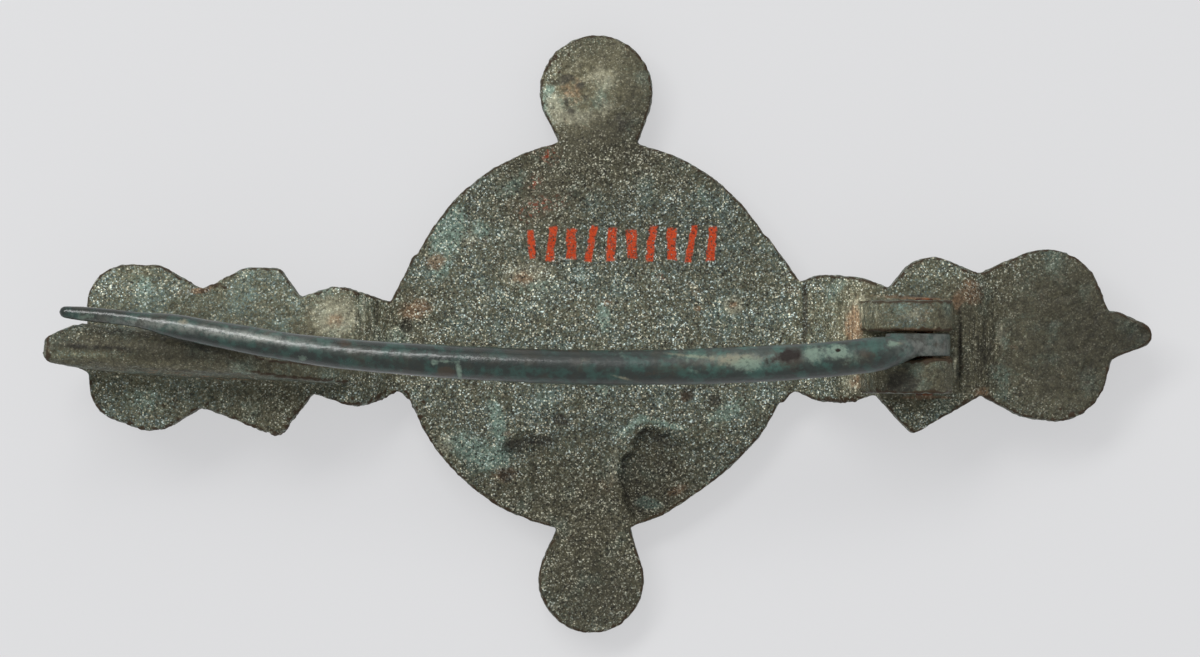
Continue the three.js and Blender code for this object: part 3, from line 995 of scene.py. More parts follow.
@dataclass
class Casting:
    """The bow: disc, knobs, arms, lugs and catch, cast in one.

    Attributes:
        voxel: Width of the skin's faces.
        rounding: Smoothing passes over the sharp corners.
        crisp: Where the corners stay sharper, round the hinge.
        finish: The bronze's finish.
        wander: How far the outline strays.
        fray: How far its edge is frayed, with the ragged stretches added.
        rim_edge: How far a point stands out on an edge that takes the full dark rim colour.
        wall_jitter: Unevenness of the sinkings' outlines.
        swales: Broad, shallow unevenness.
        grain: Fine unevenness.
        pitting: Depth and spread of the fine pits.
        pit_level: Height of that noise from where it makes a pit.
        sinkings: Shallow sunk patches on the disc's back.
        sunk_shade: How much darker they are.
        wall_shade: How dark their steep walls are painted, a painted shade put in the dark stain's layer.
        dents: Pits and grooves, each with its depth as strength; a negative one stands proud.
        rough: Stretches where the surface is rougher.
        ragged: Stretches whose edge is frayed.
        stains: Corrosion and colour by kind; the dark layer also holds painted shade, and the warm layer
            keeps the catch's painted highlight grey.
        tone_and_light_marks: Lighter and darker stretches, partly patina and partly painted light: lighter
            towards the catch end, the +Y side and on the slope before the lugs, darker towards the hinge
            end and the -Y side, beside the lugs too, with a painted highlight along the catch's crest.
        side_smoothness: How much smoother the hidden sides are.
        slot_wall: The far lug's wall beside the pin, which doesn't run quite along the brooch.
    """

    voxel: float = 0.1
    rounding: int = 3
    crisp: Mark = Mark(16.2, -0.4, 2.6, 2.6, 0, 0.7)
    finish: BronzePatina = field(default_factory=BronzePatina)
    wander: Unevenness = Unevenness(0.025, 1.5, 3, 3.0)
    fray: Unevenness = Unevenness(0.04, 0.4, 2, 5.0)
    rim_edge: float = 0.014
    wall_jitter: Unevenness = Unevenness(0.32, 0.8, 4, 31.0)
    swales: Unevenness = Unevenness(0.03, 3.2, 2, 11.0)
    grain: Unevenness = Unevenness(0.022, 0.45, 2, 13.0)
    pitting: Unevenness = Unevenness(0.14, 0.6, 2, 17.0)
    pit_level: float = 0.3
    sinkings: tuple[Sinking, ...] = (
        Sinking(
            outline=(
                (1.55, -8.9), (0.95, -7.4), (1.25, -6.1), (1.9, -5.1), (2.45, -4.4), (3.1, -4.5),
                (4.0, -5.0), (5.4, -5.3), (7.6, -4.9), (8.6, -8.0), (3.6, -10.6), (2.0, -9.7),
            ),
            depth=0.5, wall=0.3, deep_x=1.8, shallow_x=6.6, shallow_share=0.08,
        ),
        Sinking(
            outline=((-4.9, -6.3), (-4.6, -4.9), (-3.1, -4.75), (-1.7, -5.2), (-1.9, -5.9), (-3.3, -6.2)),
            depth=0.16, wall=0.3, deep_x=-4.5, shallow_x=-1.5, shallow_share=0.6,
        ),
    )
    sunk_shade: float = 0.32
    wall_shade: float = 0.35
    dents: tuple[Mark, ...] = (
        Mark(-4.5, -7.0, 0.35, 0.25, 20, 0.16), Mark(-1.8, -4.2, 0.3, 0.22, 0, 0.1),
        Mark(4.6, -3.0, 0.3, 0.3, 0, 0.14), Mark(5.95, -3.3, 0.22, 0.25, 0, 0.1),
        Mark(-7.95, 2.0, 0.12, 0.12, 0, 0.1), Mark(-7.7, 1.7, 0.12, 0.12, 0, 0.1),
        Mark(-7.9, 1.35, 0.12, 0.12, 0, 0.1), Mark(-8.2, 0.9, 0.15, 0.15, 0, 0.1),
        Mark(-9.55, 0.5, 0.2, 0.25, 0, 0.25), Mark(0.5, 9.05, 0.05, 0.35, 0, 0.05),
        Mark(10.45, 1.2, 0.07, 1.6, 0, 0.14), Mark(10.5, 2.15, 0.1, 0.1, 0, 0.15),
        Mark(-16.8, 2.4, 0.16, 0.2, 0, 0.12), Mark(-17.1, 2.65, 0.1, 0.1, 0, 0.1),
        Mark(18.0, -1.2, 0.08, 2.4, 0, 0.12), Mark(-18.5, -1.98, 4.0, 0.07, -3, 0.08),
        Mark(-1.3, 12.3, 0.25, 0.2, 0, 0.1), Mark(-0.9, 11.9, 0.2, 0.25, 0, 0.1),
        Mark(-1.0, 12.9, 0.22, 0.16, 0, 0.08), Mark(-0.6, 11.2, 0.22, 0.2, 0, 0.1),
        Mark(20.3, -0.3, 0.25, 0.4, 0, -0.05), Mark(6.7, 1.5, 0.16, 0.14, 0, 0.08),
    )
    rough: tuple[Mark, ...] = (
        Mark(-1.0, 12.2, 1.3, 1.2, 0, 1.2), Mark(2.9, -7.2, 2.2, 1.9, 0, 1.4),
        Mark(-3.3, -5.5, 1.6, 0.8, 0, 0.8), Mark(-24.0, 0.0, 3.4, 0.6, 0, 0.9),
        Mark(-15.0, -3.6, 2.6, 0.9, 10, 0.8), Mark(19.2, 0.0, 0.9, 3.0, 0, 0.6),
    )
    ragged: tuple[Mark, ...] = (
        Mark(-15.2, -5.2, 2.2, 1.2, 20, 0.12), Mark(-10.2, -3.4, 1.6, 0.8, 0, 0.12),
        Mark(-19.6, 2.4, 1.2, 0.6, 0, 0.1), Mark(-21.0, -4.2, 2.6, 1.6, 0, 0.06),
        Mark(12.6, -3.8, 1.6, 0.6, 0, 0.12), Mark(20.6, 6.0, 2.6, 1.4, 20, 0.05),
        Mark(24.0, -4.8, 3.2, 1.4, 0, 0.05), Mark(-12.6, 3.0, 1.6, 1.0, 0, 0.05),
        Mark(-2.0, 13.6, 1.6, 1.4, 0, 0.05),
    )
    stains: dict[Stain, tuple[Mark, ...]] = field(
        default_factory=lambda: {
            Stain.VERDIGRIS: (
                Mark(-7.4, 5.2, 0.9, 1.5, -20, 1.05), Mark(-3.0, 2.5, 1.5, 0.6, 0, 0.55),
                Mark(-5.7, 5.3, 0.5, 0.5, 0, 0.8), Mark(-4.9, -4.3, 0.4, 1.4, 12, 1.1),
                Mark(-6.3, -5.6, 1.5, 0.8, 150, 0.9), Mark(-5.0, -6.3, 0.8, 0.5, 0, 0.8),
                Mark(1.7, -4.6, 0.9, 0.28, 35, 0.95), Mark(3.4, -4.4, 1.3, 0.2, -15, 0.9),
                Mark(2.6, -8.4, 0.7, 0.35, -10, 1.1), Mark(0.4, 0.9, 0.5, 1.1, 10, 0.75),
                Mark(-13.4, 2.4, 0.9, 0.4, 20, 0.65), Mark(20.2, -1.9, 1.2, 0.8, -30, 0.5),
                Mark(20.4, -0.2, 0.35, 0.8, 0, 0.5), Mark(-2.3, 12.3, 0.25, 0.3, 0, 1.0),
                Mark(6.6, -3.8, 1.6, 0.7, 30, 0.65), Mark(0.3, -2.6, 0.5, 0.7, 0, 0.6),
                Mark(-22.4, -3.2, 1.3, 0.8, 0, 0.55), Mark(6.3, -6.9, 1.1, 0.4, 30, 0.7),
                Mark(17.3, -3.9, 0.5, 0.3, 0, 0.6), Mark(-7.9, 3.4, 0.6, 0.6, 0, 0.8),
                Mark(-9.0, -2.8, 0.6, 0.3, 120, 0.5), Mark(-4.2, 7.5, 1.4, 0.6, 40, 0.6),
                Mark(3.0, 3.0, 0.8, 0.5, 20, 0.45), Mark(-22.5, 2.6, 0.8, 0.6, 0, 0.55),
                Mark(-2.6, 11.6, 0.3, 0.9, 15, 0.6), Mark(5.2, 7.0, 0.8, 0.6, 30, 0.5),
                Mark(15.0, 1.3, 0.7, 0.4, 0, 0.5),
            ),
            Stain.RUST: (
                Mark(-12.9, 0.8, 0.6, 0.55, 0, 0.65), Mark(-8.0, 3.7, 0.6, 0.45, 30, 1.0),
                Mark(-9.0, 1.3, 0.9, 0.55, 20, 1.0), Mark(12.7, 0.2, 0.5, 0.8, 0, 0.5),
                Mark(0.55, 1.65, 0.3, 0.25, 0, 0.75), Mark(5.1, 1.35, 0.25, 0.2, 0, 0.85),
                Mark(12.85, 0.8, 0.45, 1.0, 0, 0.72), Mark(13.0, -2.3, 0.5, 0.5, 0, 0.8),
                Mark(18.7, 2.2, 0.6, 0.75, 30, 0.95), Mark(17.9, 1.6, 0.2, 0.6, 0, 0.8),
                Mark(-19.6, 2.3, 0.6, 0.2, 10, 1.1), Mark(15.6, 1.88, 2.3, 0.12, -3, 0.8),
                Mark(16.4, -3.05, 1.7, 0.12, 0, 0.85), Mark(-19.0, -1.99, 4.2, 0.14, -2.3, 1.25),
                Mark(19.2, -2.8, 0.5, 0.35, 0, 0.8), Mark(4.1, -7.7, 0.7, 0.3, 25, 0.8),
                Mark(-4.6, -6.9, 0.8, 0.5, 0, 0.75), Mark(-1.2, 12.2, 0.9, 1.2, 0, 0.5),
                Mark(4.5, -3.0, 0.4, 0.4, 0, 0.75), Mark(-21.8, -1.75, 0.5, 0.1, 0, 0.8),
                Mark(15.8, 0.26, 1.9, 0.12, 0, 1.0), Mark(16.6, -1.12, 0.9, 0.1, 0, 0.8),
                Mark(17.4, -1.0, 0.2, 0.5, 0, 0.6), Mark(-3.6, 2.9, 0.7, 0.4, 0, 0.8),
                Mark(6.85, 1.55, 0.2, 0.17, 0, 1.2), Mark(-4.5, -4.9, 0.5, 0.3, 0, 0.5),
                Mark(0.3, -7.4, 1.3, 0.8, 0, 0.35),
            ),
            Stain.PALE: (
                Mark(-12.9, 0.9, 1.4, 1.1, 0, 0.95), Mark(-2.2, 11.7, 0.5, 0.9, 15, 0.9),
                Mark(-1.0, 10.9, 1.1, 0.5, 0, 0.8), Mark(0.3, 12.9, 1.0, 1.0, 0, 0.6),
                Mark(-3.4, 3.1, 1.2, 0.7, 0, 1.0), Mark(6.85, 1.5, 0.5, 0.42, 0, 1.5),
                Mark(-6.2, 5.0, 0.9, 0.5, 40, 0.7), Mark(-7.4, -5.4, 0.7, 0.5, 30, 0.9),
                Mark(-22.4, 0.4, 1.3, 0.3, -8, 0.65), Mark(0.85, -6.6, 0.25, 1.3, -8, 0.85),
                Mark(2.0, -4.5, 0.8, 0.2, 40, 0.7), Mark(13.2, 1.2, 0.8, 0.9, 0, 0.95),
                Mark(12.9, -2.3, 0.7, 0.6, 0, 0.8), Mark(18.8, 1.1, 0.5, 0.35, 0, 0.4),
                Mark(20.2, -0.15, 0.25, 0.5, 0, 1.0), Mark(15.6, 1.1, 0.9, 0.5, 0, 0.6),
                Mark(-21.0, 0.95, 0.4, 0.15, -20, 0.7), Mark(16.0, -4.0, 0.3, 0.25, 0, 0.6),
                Mark(-11.5, 1.6, 0.06, 0.7, 0, 0.8), Mark(-11.2, 0.9, 0.05, 0.6, 0, 0.7),
                Mark(12.3, -0.6, 0.07, 2.0, 0, 0.5), Mark(11.8, 1.6, 0.06, 0.8, 0, 0.5),
                Mark(17.8, -1.4, 0.1, 0.9, 0, 1.1), Mark(20.1, 0.4, 0.1, 0.5, 0, 0.6),
                Mark(0.8, 11.3, 0.7, 0.4, 0, 0.5), Mark(6.3, 5.3, 0.7, 0.5, 0, 0.45),
            ),
            Stain.DARK: (
                # The first five marks darken the sinkings along their upper and left walls and on their
                # floors: painted shade, with the dark crumbs of their floors.
                Mark(1.6, -6.6, 0.4, 1.3, 0, 0.4), Mark(3.2, -5.2, 1.2, 0.3, -20, 0.7),
                Mark(3.4, -6.6, 0.8, 0.7, 0, 0.5), Mark(-4.2, -5.5, 0.8, 0.45, 0, 0.65),
                Mark(-2.7, -5.2, 1.1, 0.4, 0, 0.75), Mark(-4.5, -7.0, 0.45, 0.4, 0, 1.0),
                Mark(4.6, -2.9, 0.35, 0.35, 0, 1.2), Mark(5.9, -3.2, 0.35, 0.35, 0, 1.1),
                Mark(-1.8, -4.2, 0.4, 0.33, 0, 1.2), Mark(-9.5, 0.5, 0.35, 0.45, 0, 1.1),
                # Mark(15.0, -2.3, …) is a painted shadow of the pin on the near lug, over its dark brown
                # top.
                Mark(15.0, -2.3, 0.9, 0.7, 0, 1.0), Mark(18.05, -0.4, 0.15, 2.4, 0, 0.75),
                Mark(17.0, 1.0, 0.6, 0.6, 0, 0.5), Mark(-1.4, 12.9, 0.35, 0.22, 0, 1.0),
                Mark(-1.5, 11.7, 0.22, 0.3, 0, 0.9), Mark(-0.8, 12.5, 0.25, 0.25, 0, 0.9),
                Mark(-0.5, 11.9, 0.2, 0.25, 0, 0.7), Mark(-24.6, -0.55, 2.6, 0.13, -3, 0.9),
                Mark(-1.2, 11.2, 0.32, 0.22, 0, 0.9), Mark(10.45, 1.2, 0.13, 1.7, 0, 1.3),
                Mark(-1.9, 12.7, 0.5, 0.4, 0, 0.6), Mark(2.6, 9.7, 0.8, 0.6, 0, 0.5),
                Mark(1.2, 10.6, 0.9, 0.7, 20, 0.6), Mark(15.6, 1.98, 2.3, 0.09, -3, 0.7),
                Mark(-23.0, 0.15, 3.4, 0.5, -3, 0.5), Mark(-19.2, -0.5, 1.6, 0.4, -12, 0.6),
                Mark(19.4, -1.3, 0.8, 1.3, 0, 0.55), Mark(-19.0, -1.85, 6.5, 0.16, -4, 0.7),
                Mark(-11.9, 0.7, 0.08, 0.9, 0, 0.6), Mark(-10.9, 1.3, 0.1, 1.0, 0, 0.7),
                Mark(19.0, 0.4, 0.06, 1.2, 0, 0.5), Mark(4.0, 8.5, 0.5, 0.4, 0, 0.5),
                Mark(8.3, -4.2, 0.9, 0.35, 40, 0.5),
            ),
            Stain.SMOOTH: (
                Mark(23.6, -0.1, 3.2, 4.5, 0, 1.3), Mark(27.0, 0.0, 2.0, 2.0, 0, 1.2),
                Mark(0.7, 12.5, 2.9, 2.8, 0, 1.2), Mark(-20.0, -1.1, 9.0, 0.6, -2, 1.2),
                Mark(16.0, 1.0, 1.9, 1.0, 0, 0.9), Mark(16.0, -2.0, 1.9, 1.0, 0, 0.9),
                Mark(0.0, -13.0, 2.8, 2.6, 0, 0.45), Mark(-19.0, 0.0, 8.0, 6.0, 0, 0.72),
                Mark(17.5, 0.0, 3.5, 5.0, 0, 0.4), Mark(-12.9, 0.9, 1.8, 1.4, 0, 0.35),
                Mark(13.0, 0.0, 3.0, 4.0, 0, 0.55), Mark(-2.8, 6.2, 1.8, 2.4, 0, 0.4),
                Mark(-1.2, 11.2, 1.4, 2.0, 0, 0.4),
            ),
            Stain.WARM_AND_HIGHLIGHT: (
                Mark(23.8, -0.1, 4.2, 5.0, 0, 1.1), Mark(27.3, 0.0, 2.0, 2.0, 0, 0.6),
                Mark(0.4, 12.4, 3.2, 3.2, 0, 1.1), Mark(0.0, -12.6, 3.4, 3.0, 0, 0.75),
                Mark(-1.0, -8.6, 7.0, 2.6, 0, 0.75), Mark(2.9, -7.2, 2.4, 2.2, 0, 0.4),
                # Mark(-24.9, -0.9, …) takes the browner hue out of the catch's painted highlight.
                Mark(-20.0, -0.9, 9.0, 1.2, -2, 1.0), Mark(-24.9, -0.9, 2.3, 0.18, -1, -0.8),
                Mark(13.0, 0.2, 1.4, 3.6, 0, 0.9), Mark(-13.0, 1.0, 2.0, 1.6, 0, 0.7),
                Mark(0.0, 8.6, 6.0, 1.8, 0, 0.6), Mark(-2.8, 6.0, 2.0, 2.4, 0, 0.6),
                Mark(16.0, -2.2, 2.4, 1.4, 0, 1.0), Mark(17.4, 0.9, 1.0, 1.2, 0, 0.9),
                Mark(-9.4, 1.0, 1.6, 1.6, 0, 0.6), Mark(19.2, 0.0, 1.4, 3.4, 0, 0.6),
                Mark(-16.4, -3.8, 2.6, 1.4, 0, 0.7), Mark(-3.6, 2.9, 1.4, 0.9, 0, 0.6),
                Mark(6.8, 1.5, 0.5, 0.5, 0, 0.6), Mark(-8.0, -5.0, 1.0, 3.0, 30, 0.4),
            ),
            Stain.STREAK: (
                Mark(19.2, -0.6, 1.1, 3.0, 0, 1.5), Mark(12.3, 0.0, 1.6, 3.4, 0, 1.1),
                Mark(-11.2, 0.6, 1.3, 2.2, 0, 1.3), Mark(17.9, -1.6, 0.4, 1.0, 0, 0.8),
                Mark(15.6, -4.2, 1.6, 1.2, 0, 0.5),
            ),
            Stain.TRACE: (
                Mark(-2.5, 9.1, 0.55, 0.35, -30, 0.9), Mark(-3.1, 7.6, 0.3, 0.3, 0, 0.9),
                Mark(-2.6, 6.6, 0.9, 0.3, 10, 0.8), Mark(-3.4, 6.1, 0.4, 0.3, 0, 0.8),
                Mark(3.2, 2.9, 0.2, 0.15, 0, 0.8),
            ),
        }
    )
    tone_and_light_marks: tuple[Mark, ...] = (
        Mark(-23.6, 2.6, 2.6, 1.8, 0, 0.75), Mark(-17.5, 2.3, 3.6, 1.8, 0, 0.6),
        Mark(-13.0, 1.2, 2.0, 1.6, 0, 0.6), Mark(-11.2, 0.6, 0.9, 1.6, 0, 0.1),
        Mark(-1.7, 12.2, 1.4, 1.9, 0, 1.0), Mark(0.6, 12.9, 1.8, 1.8, 0, 0.75),
        Mark(0.0, -12.8, 3.2, 2.6, 0, -0.38), Mark(0.0, -8.6, 6.5, 2.2, 0, -0.2),
        Mark(24.5, -0.2, 4.2, 5.0, 0, -0.46), Mark(-16.0, -4.3, 2.6, 1.6, 0, 0.08),
        Mark(15.5, -2.6, 2.5, 1.5, 0, -0.3), Mark(11.2, 1.0, 1.6, 2.6, 0, 0.5),
        Mark(12.9, 0.9, 1.0, 2.4, 0, 0.85), Mark(0.0, 1.5, 9.0, 2.8, 0, 0.22),
        Mark(-6.5, 4.6, 2.6, 2.4, 0, 0.18), Mark(-22.5, -3.2, 2.6, 1.6, 0, 0.45),
        Mark(0.0, 9.0, 6.0, 1.6, 0, -0.2), Mark(17.0, 3.2, 1.8, 0.9, 0, 0.35),
        Mark(19.2, -0.6, 1.2, 2.6, 0, -0.12), Mark(18.7, 1.9, 0.8, 0.9, 0, -0.2),
        # Mark(-25.5, -0.92, …) is a painted highlight along the catch's crest.
        Mark(-22.0, -0.4, 6.0, 0.6, 0, -0.25), Mark(-25.5, -0.92, 1.8, 0.15, -1, 1.2),
        Mark(-20.5, -1.0, 4.0, 0.3, -3, -0.4), Mark(-5.0, -4.6, 1.6, 1.6, 0, 0.2),
        Mark(0.4, 6.0, 6.0, 2.2, 0, -0.12), Mark(2.0, 11.6, 1.4, 2.4, 0, -0.35),
        Mark(27.6, 0.0, 1.6, 1.4, 0, -0.3), Mark(-21.0, -0.9, 6.0, 0.7, -2, -0.25),
        Mark(15.8, -4.0, 1.8, 1.0, 0, 0.45), Mark(-11.0, 0.8, 1.2, 1.6, 0, 0.15),
        Mark(-19.0, 0.0, 8.0, 6.0, 0, 0.24), Mark(14.0, 0.0, 4.5, 5.0, 0, 0.2),
        Mark(5.0, 4.6, 2.0, 1.6, 0, -0.15), Mark(8.0, -1.0, 1.6, 3.0, 0, 0.12),
    )
    side_smoothness: float = 0.6
    slot_wall: SlotWall = SlotWall()

    def worn(self, skin: Skin) -> None:
        """Rounds, dents and pits the skin.

        Args:
            skin: The casting's skin.
        """
        skin.smooth(self.rounding, 0.0, 1.0 - self.crisp.field(skin.points))
        self.slot_wall.lean(skin)
        skin.swell(self.wander)
        frayed = sum(mark.field(skin.points) for mark in self.ragged)
        skin.swell(self.fray, frayed)
        skin.find_edges(self.rim_edge)
        normals = skin.normals()
        upward = ease(0.3, 0.8, normals[:, 2])
        jitter = self.wall_jitter.amount * self.wall_jitter.wave(skin.points)
        for sinking in self.sinkings:
            sunk = sinking.field(skin.points, jitter) * upward
            skin.push(-sunk, normals)
            # Painted shade: the sunk floor is darkened in the lightness layer and its steep walls in the
            # dark layer.
            skin.tone -= self.sunk_shade * sunk / sinking.depth
            steep = ease(0.95, 0.7, skin.normals()[:, 2])
            skin.stains[Stain.DARK] += self.wall_shade * steep * ease(0.0, 0.1, sunk / sinking.depth)
        roughness = 1.0 + sum(mark.field(skin.points) for mark in self.rough)
        skin.push(self.swales.amount * self.swales.wave(skin.points), normals)
        skin.push(self.grain.amount * roughness * self.grain.wave(skin.points), normals)
        pits = np.maximum(self.pitting.wave(skin.points) - self.pit_level, 0.0)
        skin.push(-self.pitting.amount * pits * roughness, normals)
        for dent in self.dents:
            skin.push(-dent.field(skin.points) * upward, normals)

    def dress(self, node: bpy.types.Object) -> bpy.types.Object:
        """Makes the casting's visible piece.

        Args:
            node: The CAD node.

        Returns:
            The piece.
        """
        skin = Skin(node, self.voxel)
        self.worn(skin)
        rise = skin.normals()[:, 2]
        at_hinge = np.minimum(self.crisp.field(skin.points) / self.crisp.strength * 1.5, 1.0)
        upward = ease(0.0, 0.5, rise)
        reached = np.maximum(upward, at_hinge * ease(-0.4, 0.1, rise))
        for stain, marks in self.stains.items():
            skin.paint(stain, marks, reached)
        # Lighter and darker patina and painted light and shade, into the lightness layer.
        for mark in self.tone_and_light_marks:
            skin.tone += mark.field(skin.points) * reached
        skin.stains[Stain.SMOOTH] += self.side_smoothness * (1.0 - upward)
        return skin.piece("bow", self.finish.material(), "bronze", "brooch")


@dataclass
class BentPin:
    """The pin: a tapering wire with a flat eye.

    Attributes:
        voxel: Width of the skin's faces.
        easing: Smoothing passes over the whole pin, eye included.
        rounding: Smoothing passes, which take the flats off the wire.
        girth: Share of each of those passes that is taken back, so that the wire keeps its thickness.
        sway: Broad unevenness of the wire.
        grain: Fine unevenness.
        eye_from: Where along the brooch the eye starts, whose corners stay crisp.
        finish: The pin's finish.
        stains: Crusts, rub marks and grey dusting by kind; the warm layer also holds a painted highlight
            along the wire's upper side and a painted pale reflection along its lower edge.
        tone_and_light_marks: Lighter stretches: a painted highlight along the wire's upper side, and
            lighter skin on the eye and towards the hinge.
    """

    voxel: float = 0.075
    easing: int = 2
    rounding: int = 14
    girth: float = 1.04
    sway: Unevenness = Unevenness(0.02, 2.4, 2, 41.0)
    grain: Unevenness = Unevenness(0.008, 0.7, 2, 43.0)
    eye_from: float = 15.2
    finish: PinPatina = field(default_factory=PinPatina)
    stains: dict[Stain, tuple[Mark, ...]] = field(
        default_factory=lambda: {
            Stain.VERDIGRIS: (
                Mark(11.8, -0.72, 0.45, 0.32, 0, 1.2), Mark(14.5, -0.4, 0.35, 0.2, 0, 0.9),
                Mark(-14.3, -1.1, 0.3, 0.25, 0, 0.6), Mark(-7.9, -1.3, 0.2, 0.25, 0, 0.5),
                Mark(10.6, -0.9, 0.7, 0.5, 0, 0.9), Mark(12.6, -1.1, 0.9, 0.4, 0, 0.5),
                Mark(-6.65, -1.75, 0.14, 0.4, 10, 1.1), Mark(-7.3, -1.25, 0.6, 0.12, 0, 0.6),
                Mark(-25.0, 0.9, 0.8, 0.4, 0, 0.5), Mark(7.4, -1.35, 1.0, 0.4, 0, 0.95),
                Mark(4.6, -1.0, 1.2, 0.4, 0, 0.5), Mark(1.2, -0.9, 0.8, 0.3, 0, 0.4),
                Mark(4.9, -1.7, 0.6, 0.25, 0, 0.4),
            ),
            Stain.PALE: (
                Mark(-20.1, 0.68, 0.3, 0.16, 0, 0.8), Mark(6.9, -1.15, 1.3, 0.34, 0, 0.95),
                Mark(-0.6, -1.2, 0.4, 0.3, 0, 0.4), Mark(4.4, -0.95, 1.2, 0.1, -6, 0.7),
                Mark(1.3, -2.05, 0.9, 0.09, -14, 0.6), Mark(14.8, -0.35, 0.5, 0.15, 0, 0.5),
            ),
            Stain.RUST: (
                Mark(-7.3, -1.75, 0.55, 0.35, 0, 1.0), Mark(-14.0, 0.2, 1.4, 0.3, -12, 0.6),
                Mark(-12.2, -0.4, 0.4, 0.3, 0, 0.7), Mark(3.0, -1.8, 1.2, 0.25, 0, 0.5),
                Mark(13.2, -0.9, 0.7, 0.4, 0, 0.6), Mark(9.2, -1.1, 1.2, 0.5, 0, 0.8),
                Mark(17.0, -0.45, 0.9, 0.6, 0, 0.45),
            ),
            Stain.DARK: (
                Mark(9.4, -0.95, 0.7, 0.35, 8, 1.1), Mark(11.8, -0.7, 0.13, 0.09, 0, 1.4),
                Mark(9.9, -1.6, 0.5, 0.25, 0, 0.6), Mark(8.3, -1.3, 0.4, 0.25, 0, 0.6),
            ),
            Stain.WARM_AND_HIGHLIGHT: (
                # Mark(16.6, …) and Mark(7.6, …) are grey dusting; Mark(-17.2, …), Mark(-22.5, …) and
                # Mark(-8.0, …) are a painted highlight along the wire's upper side, and Mark(0.0, -2.3, …)
                # a painted pale reflection along its lower edge.
                Mark(16.6, -0.5, 1.6, 1.4, 0, 0.85), Mark(-17.2, 0.02, 4.2, 0.24, -7.7, 1.1),
                Mark(-22.5, 0.62, 2.0, 0.25, -4, 0.5), Mark(-8.0, -0.95, 4.0, 0.14, -1, 0.12),
                Mark(7.6, -1.1, 2.0, 0.4, 0, 0.3), Mark(0.0, -2.3, 14.0, 0.1, 0, 0.15),
            ),
        }
    )
    tone_and_light_marks: tuple[Mark, ...] = (
        # Mark(-17.0, …), Mark(-22.5, …) and Mark(-9.0, …) are a painted highlight along the wire's upper
        # side; the other two make the skin lighter towards the hinge and on the eye.
        Mark(-17.0, 0.05, 4.0, 0.3, -7.7, 1.0), Mark(-22.5, 0.7, 2.0, 0.25, -5, 0.6),
        Mark(7.0, -1.1, 3.6, 0.6, 0, 1.6), Mark(14.4, -0.5, 1.6, 0.5, 0, 0.6),
        Mark(-9.0, -0.9, 3.0, 0.2, -2, 0.3),
    )

    def dress(self, node: bpy.types.Object) -> bpy.types.Object:
        """Makes the pin's visible piece.

        Args:
            node: The CAD node.

        Returns:
            The piece.
        """
        skin = Skin(node, self.voxel)
        skin.smooth(self.easing)
        wire = ease(self.eye_from + 0.7, self.eye_from, skin.points[:, 0])
        skin.smooth(self.rounding, self.girth, wire)
        normals = skin.normals()
        skin.push(self.sway.amount * wire * self.sway.wave(skin.points), normals)
        skin.push(self.grain.amount * self.grain.wave(skin.points), normals)
        upward = ease(-0.2, 0.3, skin.normals()[:, 2])
        for stain, marks in self.stains.items():
            skin.paint(stain, marks, upward)
        # Lighter skin and a painted highlight, into the lightness layer.
        for mark in self.tone_and_light_marks:
            skin.tone += mark.field(skin.points) * upward
        return skin.piece("pin", self.finish.material(), "pin_bronze", "pin")


@dataclass
class HingeRod:
    """The short rod through the lugs.

    Attributes:
        voxel: Width of the skin's faces.
        rounding: Smoothing passes.
        girth: Share of each pass that is taken back, so that the rod keeps its thickness.
        flakes: Unevenness of its rust.
        eaten: Level that the rust is eaten down by, in the same measure.
        finish: The rod's finish.
    """

    voxel: float = 0.07
    rounding: int = 4
    girth: float = 1.02
    flakes: Unevenness = Unevenness(0.012, 0.5, 2, 53.0)
    eaten: float = 0.6
    finish: RustyIron = field(default_factory=RustyIron)

    def dress(self, node: bpy.types.Object) -> bpy.types.Object:
        """Makes the rod's visible piece.

        Args:
            node: The CAD node.

        Returns:
            The piece.
        """
        skin = Skin(node, self.voxel)
        skin.smooth(self.rounding, self.girth)
        skin.push(self.flakes.amount * (self.flakes.wave(skin.points) - self.eaten), skin.normals())
        return skin.piece("hinge_rod", self.finish.material(), "iron", "brooch")


@dataclass(frozen=True)
class Softbox:
    """A soft rectangular light that faces the brooch.

    Attributes:
        name: Its name.
        place: Its place in millimetres.
        size: Its length and width in millimetres.
        radiance: How bright its face is, where 1 is the brightness of white paper in full light.
    """

    name: str
    place: tuple[float, float, float]
    size: tuple[float, float]
    radiance: float

    def hang(self) -> bpy.types.Object:
        """Makes the light.

        Returns:
            The light's object.
        """
        data = bpy.data.lights.new(self.name, "AREA")
        data.shape = "RECTANGLE"
        data.size, data.size_y = (side * MM for side in self.size)
        data.energy = self.radiance * math.pi * data.size * data.size_y
        lamp = bpy.data.objects.new(self.name, data)
        lamp.location = Vector(self.place) * MM
        lamp.rotation_euler = (-lamp.location).to_track_quat("-Z", "Y").to_euler()
        bpy.context.scene.collection.objects.link(lamp)
        return lamp


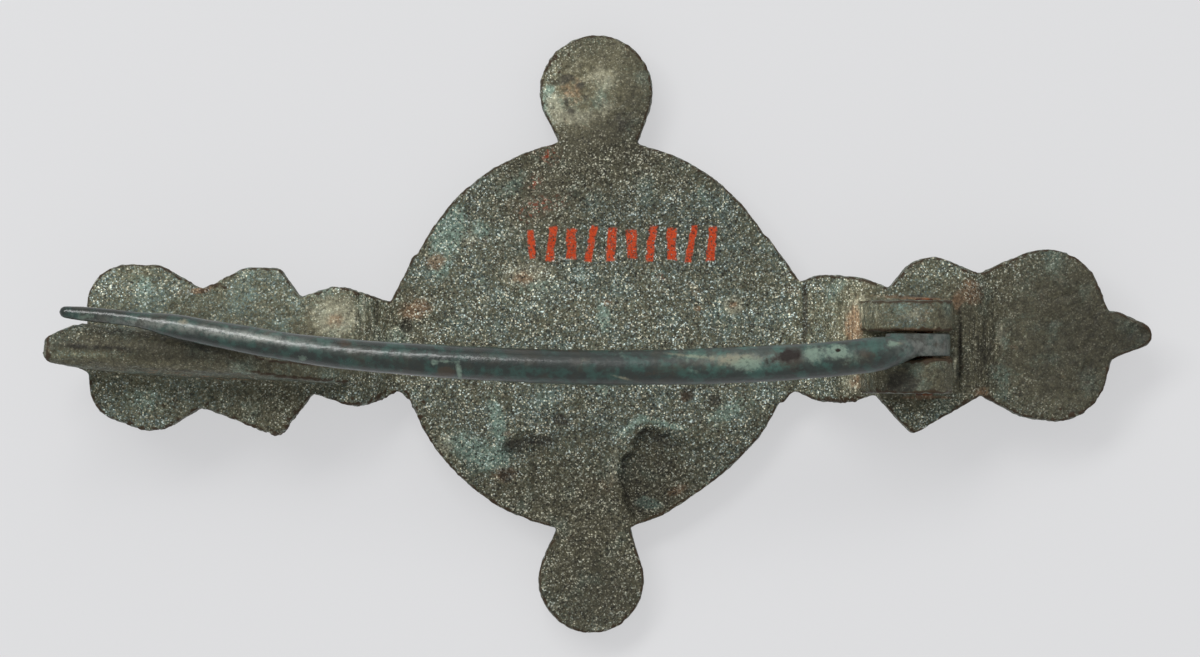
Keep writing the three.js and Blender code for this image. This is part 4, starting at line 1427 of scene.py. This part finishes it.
@dataclass
class Studio:
    """Camera straight above, two soft lights on the upper left and an even glow.

    Attributes:
        camera_height: From the floor to the camera.
        camera_x: The camera's place along the brooch.
        camera_y: Its place across the brooch.
        focus_height: Height in the brooch where the picture's scale was measured.
        scale: Millimetres in one pixel there.
        picture_width: Width of the picture in pixels.
        softboxes: The soft lights.
        glow: Strength of the even light.
        glow_colour: Its colour.
    """

    camera_height: float = 350.0
    camera_x: float = 0.198
    camera_y: float = 0.362
    focus_height: float = 5.0
    scale: float = 0.04955
    picture_width: int = 1200
    softboxes: tuple[Softbox, ...] = (
        Softbox("key", (-160.0, 230.0, 390.0), (360.0, 120.0), 8.0),
        Softbox("fill", (120.0, 330.0, 260.0), (500.0, 200.0), 0.5),
    )
    glow: float = 0.52
    glow_colour: Colour = (0.97, 0.985, 1.0)

    def camera(self) -> bpy.types.Object:
        """Places the camera.

        Returns:
            The camera's object.
        """
        data = bpy.data.cameras.new("camera")
        data.sensor_fit = "HORIZONTAL"
        pixels = (self.camera_height - self.focus_height) / self.scale
        data.lens = data.sensor_width * pixels / self.picture_width
        camera = bpy.data.objects.new("camera", data)
        camera.location = Vector((self.camera_x, self.camera_y, self.camera_height)) * MM
        bpy.context.scene.collection.objects.link(camera)
        bpy.context.scene.camera = camera
        return camera

    def light(self) -> None:
        """Hangs the soft lights and sets the glow."""
        for softbox in self.softboxes:
            softbox.hang()
        world = bpy.data.worlds.new("glow")
        world.use_nodes = True
        background = world.node_tree.nodes["Background"]
        background.inputs["Color"].default_value = (*self.glow_colour, 1.0)
        background.inputs["Strength"].default_value = self.glow
        bpy.context.scene.world = world
        bpy.context.scene.view_settings.view_transform = "Standard"


def main() -> None:
    """Builds the brooch's looks piece by piece."""
    logging.basicConfig(level=logging.INFO, format="%(name)s: %(message)s")
    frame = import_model()
    studio = Studio()
    studio.camera()
    studio.light()
    LightTable().build()
    for part, node in ((Casting(), "bow"), (HingeRod(), "hinge_rod"), (BentPin(), "pin")):
        piece = part.dress(frame["nodes"][node])
        log.info("%s: %d faces", piece.name, len(piece.data.polygons))


if __name__ == "__main__":
    main()
